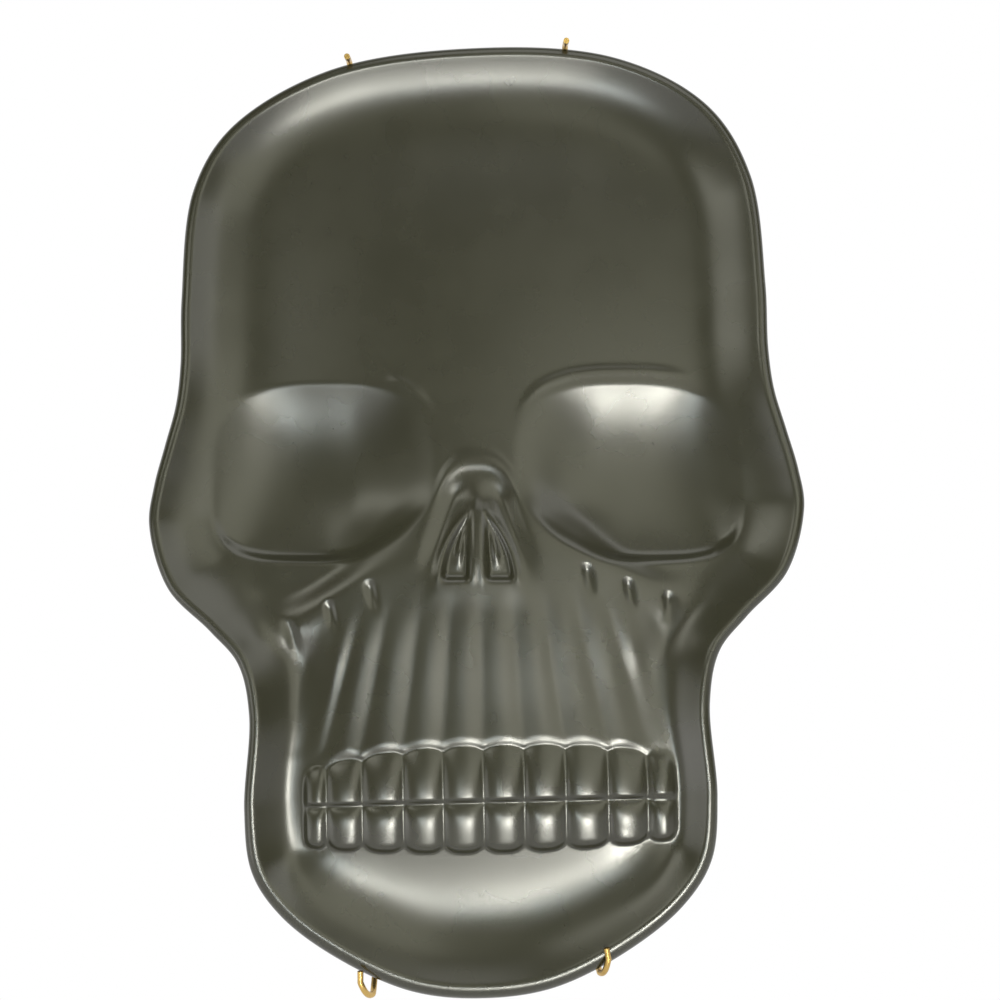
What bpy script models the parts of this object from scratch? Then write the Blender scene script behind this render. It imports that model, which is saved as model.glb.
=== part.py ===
"""Skull-shaped glazed wall plate held in a spring wire plate hanger.

The plate hangs upright with its face towards -Y and its crown towards +Z.
The origin is the nail point, under the top of the hanger's centre loop.
All lengths are in metres and all angles in degrees.
"""

import math

import bmesh
import bpy
import numpy as np
from mathutils import Matrix, Vector

# Plate outline, measured at the outer edge of the lip. Levels are heights above the chin.
PLATE_HEIGHT = 0.304
CRANIUM_WIDTH = 0.1896
CROWN_SHOULDER = 0.081
BROW_LEVEL = 0.202
CHEEK_WIDTH = 0.2092
CHEEK_LEVEL = 0.1505
WAIST_WIDTH = 0.1458
WAIST_LEVEL = 0.0895
JAW_WIDTH = 0.149
JAW_LEVEL = 0.060

# How far the cast plate is out of true: slopes, and the levels where the crown starts to lean.
SKEW = 0.012
CROWN_SKEW = 0.022
CROWN_LEVELS = (0.25, 0.305)
FACE_TILT = -0.026
MOUTH_TILT = -0.003

# Plate section: a round lip, a soft inner wall that eases out to the floor, and a low foot ring behind.
LIP_RADIUS = 0.0025
CHIN_LIP_RADIUS = 0.0036
DISH_DEPTH = 0.0078
WALL_RUN = 0.0117
WALL_REACH = 0.020
JAW_RUN = 0.0099
JAW_REACH = 0.014
FLOOR_THICKNESS = 0.0085
FOOT_HEIGHT = 0.003
LIP_GROW_LEVELS = (0.075, 0.0)
JAW_WALL_LEVELS = (0.125, 0.085)
CARVING_RUN = (0.007, 0.017)
BROAD_GLAZE = 0.0010
FINE_GLAZE = 0.0004
GLAZE_PROBES = 8
OUTER_WALL_ANGLE = 52.0
HEEL_RADIUS = 0.004
FOOT_INSET = 0.005
FOOT_WIDTH = 0.005
FOOT_SIDE_RUN = 0.0012
SPINE_SHARES = (0.80, 0.15)

# Eye sockets and brows.
EYE_CENTRE_X = 0.0486
EYE_LEVEL = 0.1641
EYE_WIDTH = 0.0745
EYE_HEIGHT = 0.0575
EYE_DEPTH = 0.0042
EYE_SQUARE = 2.8
EYE_CORNER = 1.3
EYE_NASAL_TAPER = 0.42
EYE_TOP_RUN = 0.0145
EYE_DEEPEST = 0.05
EYE_HOLLOW = 2.2
EYE_NASAL_FADE = 2.0
EYE_FLOOR_RISE = 0.0032
EYE_FLOOR_RUN = 0.018
LID_CREASE = 0.0003
LID_RUN = 0.0024
LID_NASAL_SOFTNESS = 2.4
BROW_STEP = 0.0002
BROW_REACH = 0.0040
BROW_RUN = 0.0022
BROW_SPAN = (0.40, 0.80)

# Nose: an arch of bone over a hollow, a mound between two grooves, two nostrils and a sill.
NOSE_ARCH_LEVEL = 0.1690
NOSE_ARCH_FALL = 0.0060
NOSE_ARCH_HALF = 0.0109
NOSE_ARCH_POWER = 2.7
NOSE_ARCH_RISE = 0.0004
NOSE_ARCH_RUN = 0.0055
NOSE_DEPTH = 0.0009
NOSE_LIP_RUN = 0.0048
NOSE_HOLLOW_LEVELS = (0.147, 0.160)
NOSE_GROOVE_X = 0.0076
NOSE_GROOVE_LEVEL = 0.157
NOSE_GROOVE_SPREAD = 0.36
NOSE_GROOVE_DEPTH = 0.0010
NOSE_GROOVE_WIDTH = 0.0032
NOSE_GROOVE_TOP = (0.165, 0.155)
NOSE_GROOVE_FOOT = (0.127, 0.146)
NOSE_MOUND_RISE = 0.0005
NOSE_MOUND_RUN = 0.006
NOSE_MOUND_TOP = (0.158, 0.146)
NOSE_MOUND_FOOT = (0.118, 0.132)
NOSTRIL_FOOT_LEVEL = 0.1311
NOSTRIL_TOP_LEVEL = 0.1507
NOSTRIL_TIP_X = 0.0024
NOSTRIL_INNER_X = 0.0019
NOSTRIL_OUTER_X = 0.0122
NOSTRIL_ROUND = 0.60
NOSTRIL_DEPTH = 0.0018
NOSTRIL_WALL_RUN = 0.0022
NOSTRIL_FOLD_SHARE = 0.42
NOSTRIL_FOLD_WIDTH = 0.0011
NOSTRIL_FOLD_FILL = 0.6
NOSTRIL_FOLD_SPAN = (0.1, 0.5)
NOSTRIL_FOOT_SPAN = (-0.02, 0.12)
NOSTRIL_RIM_FOOT = (-0.1, 0.15)
NOSTRIL_RIM_TOP = (1.2, 0.95)
NOSTRIL_RIM_RISE = 0.0003
NOSTRIL_RIM_WIDTH = 0.0008
SEPTUM_RISE = 0.0005
SEPTUM_WIDTH = 0.0014
SEPTUM_FOOT = (0.122, 0.136)
SEPTUM_TOP = (0.160, 0.152)

# Muzzle: the raised upper jaw, its tooth-root flutes and the notches under the cheeks.
MUZZLE_TOP_LEVEL = 0.132
MUZZLE_CORNER_DROP = 0.0115
MUZZLE_CORNER_REACH = (0.029, 0.067)
MUZZLE_WIDTH = 0.109
MUZZLE_FLARE = 0.010
MUZZLE_FLARE_LEVELS = (0.095, 0.122)
MUZZLE_SIDE_RUN = 0.006
MUZZLE_SIDE_FALL = 0.3
MUZZLE_RISE = 0.0022
MUZZLE_EDGE_RUN = 0.012
MUZZLE_NOSE_RUN = 0.024
MUZZLE_NOSE_REACH = (0.048, 0.012)
MUZZLE_FADE_LEVELS = (0.030, 0.080)
CHEEK_HOLLOW_DEPTH = 0.0005
CHEEK_HOLLOW_DROP = 0.0105
CHEEK_HOLLOW_WIDTH = 0.006
TROUGH_X = 0.0610
TROUGH_WIDTH = 0.011
TROUGH_DEPTH = 0.0006
TROUGH_FOOT = (0.030, 0.052)
TROUGH_TOP = (0.118, 0.096)
FLUTE_RISE = 0.00036
FLUTE_LEAN = 5.0
FLUTE_TOP_RUN = 0.024
FLUTE_FOOT_RUN = 0.004
NOTCH_PLACES = (0.0349, 0.0480, 0.0607)
NOTCH_DEPTH = 0.0014
NOTCH_WIDTH = 0.0013
NOTCH_LENGTH = 0.0105
NOTCH_LEAN = 0.20
NOTCH_HEAD = (-0.15, 0.10)
NOTCH_TAIL = (1.1, 0.2)

# Teeth: two rows that meet at the bite under a roll of gum, the mouth bulging along the bite.
BITE_LEVEL = 0.0600
UPPER_TOOTH_HEIGHT = 0.0183
LOWER_TOOTH_HEIGHT = 0.0160
UPPER_CREST = 0.86
LOWER_CREST = 0.60
GUM_PEAK_X = 0.006
GUM_RECEDE = 0.0062
GUM_SCALLOP = 0.0014
ROOT_RECEDE = 0.0030
ROOT_SCALLOP = 0.0024
TEETH_MIDDLE = 0.0009
TOOTH_EDGES = (
    -0.0562, -0.0489, -0.0376, -0.0245, -0.0119, 0.0009,
    0.0138, 0.0269, 0.0404, 0.0529, 0.0620,
)
TOOTH_RISE = 0.0019
TOOTH_FLANK = 2.3
PILLOW_SQUARE = 2.1
PILLOW_ROUND = 0.6
GUM_STEP = 0.0006
GUM_EDGE = (0.0010, -0.0006)
GUM_ROUND = 0.00055
GUM_ROLL = 0.0045
GUM_END_RUN = 0.016
MOUTH_BULGE = 0.0018
MOUTH_BULGE_HEIGHT = 0.022
MOUTH_FADE = (-0.024, 0.016)
MOUTH_END_RUN = 0.012

# Wire hanger: two bent brass wires joined by two springs.
WIRE_DIAMETER = 0.0019
WIRE_CLEARANCE = 0.0003
WIRE_BEND_RADIUS = 0.003
CROWN_ABOVE_NAIL = 0.075
LOOP_RADIUS = 0.004
UPPER_HOOK_SPACING = 0.0712
LOWER_HOOK_SPACING = 0.0712
HOOK_GAP = 0.0006
UPPER_TIP_DROOP = 14.0
UPPER_TIP_LENGTH = 0.006
LOWER_TIP_LENGTH = 0.0032
LOWER_HOOK_SPLAY = 0.0033
EYE_SPACING = 0.056
UPPER_EYE_DROP = 0.046
LOWER_ARM_LENGTH = 0.088
LOWER_VALLEY_DROP = 0.030
UPPER_LEAN = 3.3
LOWER_LEAN = 4.4
LOWER_PIVOT_RISE = 0.011

# Springs.
SPRING_WIRE = 0.0010
SPRING_DIAMETER = 0.0068
SPRING_TURNS = 26
SPRING_LEAD = 0.0045

# Mesh resolution.
OUTLINE_STEPS = 240
WALL_PASSES = 8
WALL_RINGS = 12
GRID_STEP = 0.0011
FACE_EDGE = 0.020
FACE_MARGIN = 0.0008
PLATE_FACETS = 7200
ARC_STEPS = 6
BEND_STEP = 22.0
BEND_SHARE = 0.45
RIM_PROBE = 0.001
LOOP_PASSES = 12
CURL_POINTS = 8

# Values worked out from the driving dimensions.
WIRE_RADIUS = WIRE_DIAMETER / 2
FOOT_Y = -(WIRE_RADIUS + WIRE_CLEARANCE)
BASE_Y = FOOT_Y - FOOT_HEIGHT
FLOOR_Y = BASE_Y - FLOOR_THICKNESS
CREST_Y = FLOOR_Y - DISH_DEPTH
CHIN_Z = CROWN_ABOVE_NAIL - PLATE_HEIGHT


def smooth(low, high, value):
    """Ease from 0 at low to 1 at high."""
    t = np.clip((value - low) / (high - low), 0.0, 1.0)
    return t**3 * (10.0 + t * (6.0 * t - 15.0))


def bell(value, width):
    """A round-topped bump, 1 in the middle and almost 0 at twice the width."""
    return np.exp(-((value / width) ** 2))


def clear_scene():
    """Remove every object that the file opens with."""
    for item in list(bpy.data.objects):
        bpy.data.objects.remove(item, do_unlink=True)


def make_material(name, colour, roughness, metallic):
    """A Principled material with one colour."""
    material = bpy.data.materials.new(name)
    material.use_nodes = True
    shader = material.node_tree.nodes["Principled BSDF"]
    shader.inputs["Base Color"].default_value = (*colour, 1.0)
    shader.inputs["Roughness"].default_value = roughness
    shader.inputs["Metallic"].default_value = metallic
    return material


def outline_corners():
    """Right half of the plate's outline, from the crown to the chin, as shape points."""
    cranium = CRANIUM_WIDTH / 2
    cheek = CHEEK_WIDTH / 2
    waist = WAIST_WIDTH / 2
    jaw = JAW_WIDTH / 2
    flare = cheek - waist
    fall = CHEEK_LEVEL - WAIST_LEVEL
    top = PLATE_HEIGHT
    return [
        (0.0, top),
        (0.50 * cranium, top - 0.068 * CROWN_SHOULDER),
        (0.822 * cranium, top - 0.284 * CROWN_SHOULDER),
        (0.957 * cranium, top - 0.556 * CROWN_SHOULDER),
        (0.997 * cranium, top - CROWN_SHOULDER),
        (cranium, BROW_LEVEL),
        (cranium + 0.145 * (cheek - cranium), BROW_LEVEL - 0.252 * (BROW_LEVEL - CHEEK_LEVEL)),
        (cranium + 0.50 * (cheek - cranium), BROW_LEVEL - 0.507 * (BROW_LEVEL - CHEEK_LEVEL)),
        (cranium + 0.85 * (cheek - cranium), BROW_LEVEL - 0.761 * (BROW_LEVEL - CHEEK_LEVEL)),
        (cheek, CHEEK_LEVEL),
        (waist + 0.81 * flare, CHEEK_LEVEL - 0.334 * fall),
        (waist + 0.385 * flare, CHEEK_LEVEL - 0.564 * fall),
        (waist + 0.11 * flare, CHEEK_LEVEL - 0.735 * fall),
        (waist, WAIST_LEVEL),
        (jaw, JAW_LEVEL),
        (0.969 * jaw, 0.675 * JAW_LEVEL),
        (0.85 * jaw, 0.45 * JAW_LEVEL),
        (0.616 * jaw, 0.227 * JAW_LEVEL),
        (0.30 * jaw, 0.045 * JAW_LEVEL),
        (0.0, 0.0),
    ]


def skewed(x, level):
    """Level of a place on the plate, which stands a little higher to the right, most so at its crown."""
    return level + SKEW * x + CROWN_SKEW * x * smooth(*CROWN_LEVELS, level)


def spline_through(points, steps):
    """A smooth curve through a half outline, level where it crosses the middle."""
    nodes = np.array(points)
    mirror = nodes * (-1.0, 1.0)
    nodes = np.vstack([mirror[1], nodes, mirror[-2]])
    knots = np.sqrt(np.linalg.norm(np.diff(nodes, axis=0), axis=1))
    knots = np.concatenate([[0.0], np.cumsum(knots)])
    dense = []
    for i in range(1, len(nodes) - 2):
        t0, t1, t2, t3 = knots[i - 1:i + 3]
        p0, p1, p2, p3 = nodes[i - 1:i + 3]
        for t in np.linspace(t1, t2, 40, endpoint=False):
            a1 = (p0 * (t1 - t) + p1 * (t - t0)) / (t1 - t0)
            a2 = (p1 * (t2 - t) + p2 * (t - t1)) / (t2 - t1)
            a3 = (p2 * (t3 - t) + p3 * (t - t2)) / (t3 - t2)
            b1 = (a1 * (t2 - t) + a2 * (t - t0)) / (t2 - t0)
            b2 = (a2 * (t3 - t) + a3 * (t - t1)) / (t3 - t1)
            dense.append((b1 * (t2 - t) + b2 * (t - t1)) / (t2 - t1))
    dense.append(nodes[-2])
    dense = np.array(dense)
    length = np.concatenate([[0.0], np.cumsum(np.linalg.norm(np.diff(dense, axis=0), axis=1))])
    even = np.linspace(0.0, length[-1], steps + 1)
    return np.column_stack([np.interp(even, length, dense[:, k]) for k in range(2)])


def rim_place(half, x, at_crown):
    """Height of the rim's outer edge above the chin at a place across, and its slope there."""
    widest = int(np.argmax(half[:, 0]))
    run = half[:widest] if at_crown else half[:widest:-1]
    across = x + np.array([-RIM_PROBE, 0.0, RIM_PROBE])
    before, level, after = skewed(across, np.interp(np.abs(across), run[:, 0], run[:, 1]))
    return level, (after - before) / (2 * RIM_PROBE)


def eye_relief(across, level):
    """Sockets that fall away under a creased brow, deepest by the nose, and close with a lid below."""
    v = (level - EYE_LEVEL) / (EYE_HEIGHT / 2)
    u = (across - EYE_CENTRE_X) / (EYE_WIDTH / 2)
    u = np.where(u < 0, u / (1.0 - EYE_NASAL_TAPER * smooth(0.3, -1.0, v)), u)
    power = EYE_SQUARE + EYE_CORNER * smooth(0.0, 0.6, u) * smooth(0.0, -0.6, v)
    reach = (np.abs(u) ** power + np.abs(v) ** power) ** (1 / power)
    edge = np.clip(1.0 - np.abs(u) ** power, 0.0, 1.0) ** (1 / power)
    from_top = np.clip(edge - v, 0.0, 2.0) * EYE_HEIGHT / 2
    from_foot = np.clip(edge + v, 0.0, 2.0) * EYE_HEIGHT / 2
    bowl = EYE_DEPTH * np.tanh(from_top / EYE_TOP_RUN)
    bowl = bowl - EYE_FLOOR_RISE * bell(from_foot, EYE_FLOOR_RUN)
    bowl = np.clip(bowl + LID_CREASE * bell(from_foot - LID_RUN, LID_RUN), 0.0, None)
    nasal = u < EYE_DEEPEST
    aside = np.where(nasal, (EYE_DEEPEST - u) / (1 + EYE_DEEPEST), (u - EYE_DEEPEST) / (1 - EYE_DEEPEST))
    hollow = (1.0 - np.clip(aside, 0.0, 1.0) ** EYE_HOLLOW) ** np.where(nasal, EYE_NASAL_FADE, 1.0)
    foot_run = LID_RUN * (1.0 + LID_NASAL_SOFTNESS * smooth(0.2, -0.7, u))
    socket = -bowl * hollow * smooth(0.0, foot_run, from_foot)
    outside = (reach - 1.0) * EYE_HEIGHT / 2
    brow = -BROW_STEP * smooth(BROW_REACH, BROW_REACH - BROW_RUN, outside) * smooth(*BROW_SPAN, v)
    return socket + brow


def softened(shape, x, level, radius):
    """A relief averaged over a small ring, as thick glaze rounds off its edges."""
    total = shape(x, level)
    for k in range(GLAZE_PROBES):
        angle = 2 * math.pi * k / GLAZE_PROBES
        total = total + shape(x + radius * math.cos(angle), level + radius * math.sin(angle))
    return total / (GLAZE_PROBES + 1)


def nostril_relief(across, level):
    """Two rimmed, tear-shaped hollows with a fold in each, beside a septum."""
    t = (level - NOSTRIL_FOOT_LEVEL) / (NOSTRIL_TOP_LEVEL - NOSTRIL_FOOT_LEVEL)
    open_out = np.clip(1.0 - t, 0.0, 1.0)
    outer = NOSTRIL_TIP_X + (NOSTRIL_OUTER_X - NOSTRIL_TIP_X) * open_out**NOSTRIL_ROUND
    inner = NOSTRIL_TIP_X + (NOSTRIL_INNER_X - NOSTRIL_TIP_X) * open_out
    half = (outer - inner) / 2
    within = half - np.abs(across - inner - half)
    hole = smooth(0.0, NOSTRIL_WALL_RUN, within) * smooth(*NOSTRIL_FOOT_SPAN, t)
    fold = bell(across - inner - 2 * NOSTRIL_FOLD_SHARE * half, NOSTRIL_FOLD_WIDTH)
    fold = NOSTRIL_FOLD_FILL * fold * smooth(*NOSTRIL_FOLD_SPAN, t)
    rim = smooth(*NOSTRIL_RIM_FOOT, t) * smooth(*NOSTRIL_RIM_TOP, t)
    rim = rim * bell(within + NOSTRIL_RIM_WIDTH, NOSTRIL_RIM_WIDTH)
    septum = bell(across, SEPTUM_WIDTH) * smooth(*SEPTUM_FOOT, level) * smooth(*SEPTUM_TOP, level)
    return NOSTRIL_RIM_RISE * rim + SEPTUM_RISE * septum - NOSTRIL_DEPTH * hole * (1.0 - fold)


def nose_relief(across, level):
    """An arch of bone over a hollow, and a mound between two grooves."""
    above = level - NOSE_ARCH_LEVEL + NOSE_ARCH_FALL * (across / NOSE_ARCH_HALF) ** NOSE_ARCH_POWER
    near = smooth(1.35 * NOSE_ARCH_HALF, 0.9 * NOSE_ARCH_HALF, across) * smooth(*NOSE_HOLLOW_LEVELS, level)
    arch = NOSE_ARCH_RISE * smooth(NOSE_ARCH_RUN, 0.0, above)
    arch = arch - NOSE_DEPTH * smooth(0.0, NOSE_LIP_RUN, -above)
    groove = NOSE_GROOVE_X + NOSE_GROOVE_SPREAD * (NOSE_GROOVE_LEVEL - level)
    aside = (across - groove) / math.hypot(1.0, NOSE_GROOVE_SPREAD)
    span = smooth(*NOSE_GROOVE_TOP, level) * smooth(*NOSE_GROOVE_FOOT, level)
    shape = arch * near - NOSE_GROOVE_DEPTH * bell(aside, NOSE_GROOVE_WIDTH) * span
    mound = smooth(0.0, NOSE_MOUND_RUN, -aside) * smooth(*NOSE_MOUND_TOP, level)
    return shape + NOSE_MOUND_RISE * mound * smooth(*NOSE_MOUND_FOOT, level)


def muzzle_edge(across):
    """Level of the upper jaw's top edge, which falls towards the cheeks."""
    return MUZZLE_TOP_LEVEL - MUZZLE_CORNER_DROP * smooth(*MUZZLE_CORNER_REACH, across)


def tooth_columns(x):
    """Place across a tooth, from -1 at its left edge to 1 at its right edge."""
    index = np.clip(np.searchsorted(TOOTH_EDGES, x) - 1, 0, len(TOOTH_EDGES) - 2)
    left = np.take(TOOTH_EDGES, index)
    return (x - left) / (np.take(TOOTH_EDGES, index + 1) - left) * 2 - 1


def muzzle_relief(x, level):
    """The raised upper jaw with its flutes, the hollows above it and the cheek notches."""
    across = np.abs(x)
    half = MUZZLE_WIDTH / 2 + MUZZLE_FLARE * smooth(*MUZZLE_FLARE_LEVELS, level)
    below = muzzle_edge(across) - level
    side = smooth(half + MUZZLE_SIDE_RUN, half - MUZZLE_SIDE_RUN, across)
    run = MUZZLE_EDGE_RUN + MUZZLE_NOSE_RUN * smooth(*MUZZLE_NOSE_REACH, across)
    block = smooth(-run, 0.0, below) * side * smooth(*MUZZLE_FADE_LEVELS, level)
    shape = MUZZLE_RISE * block * (1.0 - MUZZLE_SIDE_FALL * (across / half) ** 2)
    past_nose = smooth(NOSE_ARCH_HALF, 2.2 * NOSE_ARCH_HALF, across)
    hollow = bell(below + CHEEK_HOLLOW_DROP, CHEEK_HOLLOW_WIDTH) * side * past_nose
    shape = shape - CHEEK_HOLLOW_DEPTH * hollow
    trough = (1.0 - np.clip(np.abs(across - TROUGH_X) / TROUGH_WIDTH, 0.0, 1.0)) ** 2
    shape = shape - TROUGH_DEPTH * trough * smooth(*TROUGH_FOOT, level) * smooth(*TROUGH_TOP, level)
    gum = BITE_LEVEL + UPPER_TOOTH_HEIGHT
    fan = TEETH_MIDDLE + (x - TEETH_MIDDLE) / (1.0 - FLUTE_LEAN * (level - gum))
    p = tooth_columns(fan)
    band = smooth(gum - FLUTE_FOOT_RUN, gum, level) * smooth(0.0, FLUTE_TOP_RUN, below)
    column = 0.6 * (0.5 - p**2) + 0.2 * np.cos(math.pi * p)
    shape = shape + FLUTE_RISE * column * band * side
    for place in NOTCH_PLACES:
        drop = muzzle_edge(np.array(place)) - level
        span = smooth(*NOTCH_HEAD, drop / NOTCH_LENGTH) * smooth(*NOTCH_TAIL, drop / NOTCH_LENGTH)
        for mirror in (-1, 1):
            aside = x - mirror * place - NOTCH_LEAN * drop
            shape = shape - NOTCH_DEPTH * bell(aside, NOTCH_WIDTH) * span
    return shape


def pillow(part, crest):
    """A rounded form from 0 to 1 and back, steep at both ends, with its crest part of the way."""
    w = np.where(part < crest, (crest - part) / crest, (part - crest) / (1.0 - crest))
    return (1.0 - np.clip(w, 0.0, 1.0) ** PILLOW_SQUARE) ** PILLOW_ROUND


def tooth_relief(x, level):
    """Two rows of rounded teeth that meet at the bite, under a scalloped roll of gum."""
    p = np.clip(np.abs(tooth_columns(x)), 0.0, 1.0)
    middle = (TOOTH_EDGES[0] + TOOTH_EDGES[-1]) / 2
    row = (TOOTH_EDGES[-1] - TOOTH_EDGES[0]) / 2
    across = np.abs(x - middle)
    height = level - BITE_LEVEL - MOUTH_TILT * (x - middle)
    gum_fall = np.clip(np.abs(x - GUM_PEAK_X) / row, 0.0, 1.1) ** 3
    root_fall = np.clip(across / row, 0.0, 1.1) ** 2
    gum = UPPER_TOOTH_HEIGHT - GUM_RECEDE * gum_fall - GUM_SCALLOP * p**2.5
    root = LOWER_TOOTH_HEIGHT - ROOT_RECEDE * root_fall - ROOT_SCALLOP * p**3
    upper = pillow(np.clip(1.0 - height / gum, 0.0, 1.0), UPPER_CREST)
    lower = pillow(np.clip(-height / root, 0.0, 1.0), LOWER_CREST)
    flank = (1.0 - p**TOOTH_FLANK) ** PILLOW_ROUND
    inside = (height < gum) & (-height < root) & (across < row)
    tooth = np.where(inside, np.where(height >= 0, upper, lower) * flank, 0.0)
    above = height - gum
    bed = GUM_STEP * smooth(*GUM_EDGE, above) + GUM_ROUND * (1.0 - np.clip(above / GUM_ROLL, 0.0, 1.0)) ** 2
    bed = bed * smooth(*MOUTH_FADE, height) * smooth(row, row - GUM_END_RUN, across)
    bulge = bell(height, MOUTH_BULGE_HEIGHT) * smooth(row + MOUTH_END_RUN, row - 2 * MOUTH_END_RUN, across)
    return TOOTH_RISE * tooth - bed + MOUTH_BULGE * bulge


def relief(x, level):
    """Height of the carved face above the plate's floor, towards the viewer."""

    def broad(x, level):
        return eye_relief(np.abs(x), level - FACE_TILT * x) + muzzle_relief(x, level)

    def fine(x, level):
        across, tilted = np.abs(x), level - FACE_TILT * x
        return nose_relief(across, tilted) + nostril_relief(across, tilted) + tooth_relief(x, level)

    return softened(broad, x, level, BROAD_GLAZE) + softened(fine, x, level, FINE_GLAZE)


class PlateShape:
    """The plate's outline and section, and the height of its face at any place."""

    def __init__(self, half):
        self.loop = np.vstack([half, (half * (-1.0, 1.0))[-2:0:-1]])
        tangent = np.roll(self.loop, -1, axis=0) - np.roll(self.loop, 1, axis=0)
        tangent /= np.linalg.norm(tangent, axis=1)[:, None]
        self.normal = np.column_stack([-tangent[:, 1], tangent[:, 0]])
        level = self.loop[:, 1]
        self.lip = LIP_RADIUS + (CHIN_LIP_RADIUS - LIP_RADIUS) * smooth(*LIP_GROW_LEVELS, level)
        self.run = WALL_RUN + (JAW_RUN - WALL_RUN) * smooth(*JAW_WALL_LEVELS, level)
        self.reach = WALL_REACH + (JAW_REACH - WALL_REACH) * smooth(*JAW_WALL_LEVELS, level)
        self.wall = np.full(len(self.loop), math.radians(45.0))
        for _ in range(WALL_PASSES):
            self.wall = np.arctan((DISH_DEPTH - self.lip * (1 - np.cos(self.wall))) / self.run)
        self.lip_end = self.lip * (1 + np.sin(self.wall))

    def inset(self, distance):
        """The outline moved inwards along its normals."""
        return self.loop - self.normal * np.reshape(distance, (-1, 1))

    def dish(self, distance, index):
        """Height of the soft inner wall above the floor, at a distance in from the rim."""
        past = np.clip(distance - self.lip_end[index], 0.0, None)
        rise = np.tan(self.wall[index]) * self.run[index]
        return rise * np.exp(-past / self.run[index] - (past / self.reach[index]) ** 2)

    def place(self, points, height):
        """Points of the outline plane put at a height above the floor, in the row's frame."""
        y = np.zeros(len(points)) + FLOOR_Y - height
        return np.column_stack([points[:, 0], y, skewed(points[:, 0], points[:, 1]) + CHIN_Z])

    def face(self, points, distance, index):
        """Points of the face: the soft wall, and relief eased in with the distance from the rim."""
        carved = relief(points[:, 0], points[:, 1]) * smooth(*CARVING_RUN, distance)
        return self.place(points, self.dish(distance, index) + carved)

    def back_rings(self):
        """Rings from the middle of the back over the foot ring and the outer wall to the lip."""
        outer = math.radians(OUTER_WALL_ANGLE)
        top, low = (share * PLATE_HEIGHT for share in SPINE_SHARES)
        count = len(self.loop)
        order = np.minimum(np.arange(count), count - np.arange(count)) / (count / 2)
        share = 0.8 * (PLATE_HEIGHT - self.loop[:, 1]) / PLATE_HEIGHT + 0.2 * order
        spine = np.column_stack([np.zeros(count), top - (top - low) * share])
        back_angle = outer - math.pi
        wall_top = self.lip * (1 + math.sin(back_angle))
        wall_rise = DISH_DEPTH - self.lip * (1 - math.cos(back_angle))
        fall = wall_rise + FLOOR_THICKNESS - HEEL_RADIUS * (1 - math.cos(outer))
        heel = wall_top + fall / math.tan(outer) + HEEL_RADIUS * math.sin(outer)
        heel_ring = self.inset(heel)
        inward = spine - heel_ring
        inward /= np.linalg.norm(inward, axis=1)[:, None]
        base = -FLOOR_THICKNESS
        rings = [self.place(spine, base)]
        foot_out = FOOT_INSET + FOOT_SIDE_RUN
        foot_in = foot_out + FOOT_WIDTH
        foot = [
            (foot_in + FOOT_SIDE_RUN, 0.0),
            (foot_in, FOOT_HEIGHT),
            (foot_out, FOOT_HEIGHT),
            (FOOT_INSET, 0.0),
        ]
        for distance, drop in foot:
            rings.append(self.place(heel_ring + inward * distance, base - drop))
        for angle in np.linspace(0.0, outer, ARC_STEPS):
            ring = self.inset(heel - HEEL_RADIUS * math.sin(angle))
            rings.append(self.place(ring, base + HEEL_RADIUS * (1 - math.cos(angle))))
        return rings

    def rim_rings(self):
        """Rings over the lip and down the soft inner wall."""
        rings = []
        back_angle = math.radians(OUTER_WALL_ANGLE) - math.pi
        for part in np.linspace(0.0, 1.0, 3 * ARC_STEPS):
            angle = back_angle + (self.wall - back_angle) * part
            ring = self.inset(self.lip * (1 + np.sin(angle)))
            rings.append(self.place(ring, DISH_DEPTH - self.lip * (1 - np.cos(angle))))
        index = np.arange(len(self.loop))
        for part in np.linspace(0.0, 1.0, WALL_RINGS)[1:]:
            distance = self.lip_end + (FACE_EDGE - self.lip_end) * part
            rings.append(self.face(self.inset(distance), distance, index))
        return rings


def inside_loop(points, loop):
    """Which points lie inside a closed outline, by counting its crossings."""
    inside = np.zeros(len(points), bool)
    for (x0, z0), (x1, z1) in zip(loop, np.roll(loop, -1, axis=0)):
        if z0 == z1:
            continue
        crosses = (points[:, 1] < z0) != (points[:, 1] < z1)
        inside ^= crosses & (points[:, 0] < x0 + (points[:, 1] - z0) / (z1 - z0) * (x1 - x0))
    return inside


def rim_distance(points, loop):
    """Distance of points from an outline, and the nearest place on it."""
    best = np.full(len(points), np.inf)
    index = np.zeros(len(points), int)
    for k, corner in enumerate(loop):
        away = (points[:, 0] - corner[0]) ** 2 + (points[:, 1] - corner[1]) ** 2
        nearer = away < best
        best[nearer] = away[nearer]
        index[nearer] = k
    return np.sqrt(best), index


def face_grid(shape):
    """The carved face as an upright grid: flat places, points and faces."""
    low, high = shape.loop.min(axis=0), shape.loop.max(axis=0)
    columns, rows = np.ceil((high - low) / GRID_STEP).astype(int) + 1
    xs = np.linspace(low[0], high[0], columns)
    levels = np.linspace(low[1], high[1], rows)
    grid = np.stack(np.meshgrid(xs, levels), axis=-1)
    flat = grid.reshape(-1, 2)
    distance, index = rim_distance(flat, shape.loop)
    kept = inside_loop(flat, shape.loop) & (distance > FACE_EDGE + FACE_MARGIN)
    number = np.arange(len(flat)).reshape(grid.shape[:2])
    quads = np.stack([number[:-1, :-1], number[:-1, 1:], number[1:, 1:], number[1:, :-1]], axis=-1)
    quads = quads.reshape(-1, 4)
    quads = quads[kept[quads].all(axis=1)]
    used = np.unique(quads)
    renumber = np.full(len(flat), -1)
    renumber[used] = np.arange(len(used))
    return shape.face(flat[used], distance[used], index[used]), renumber[quads]


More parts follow.
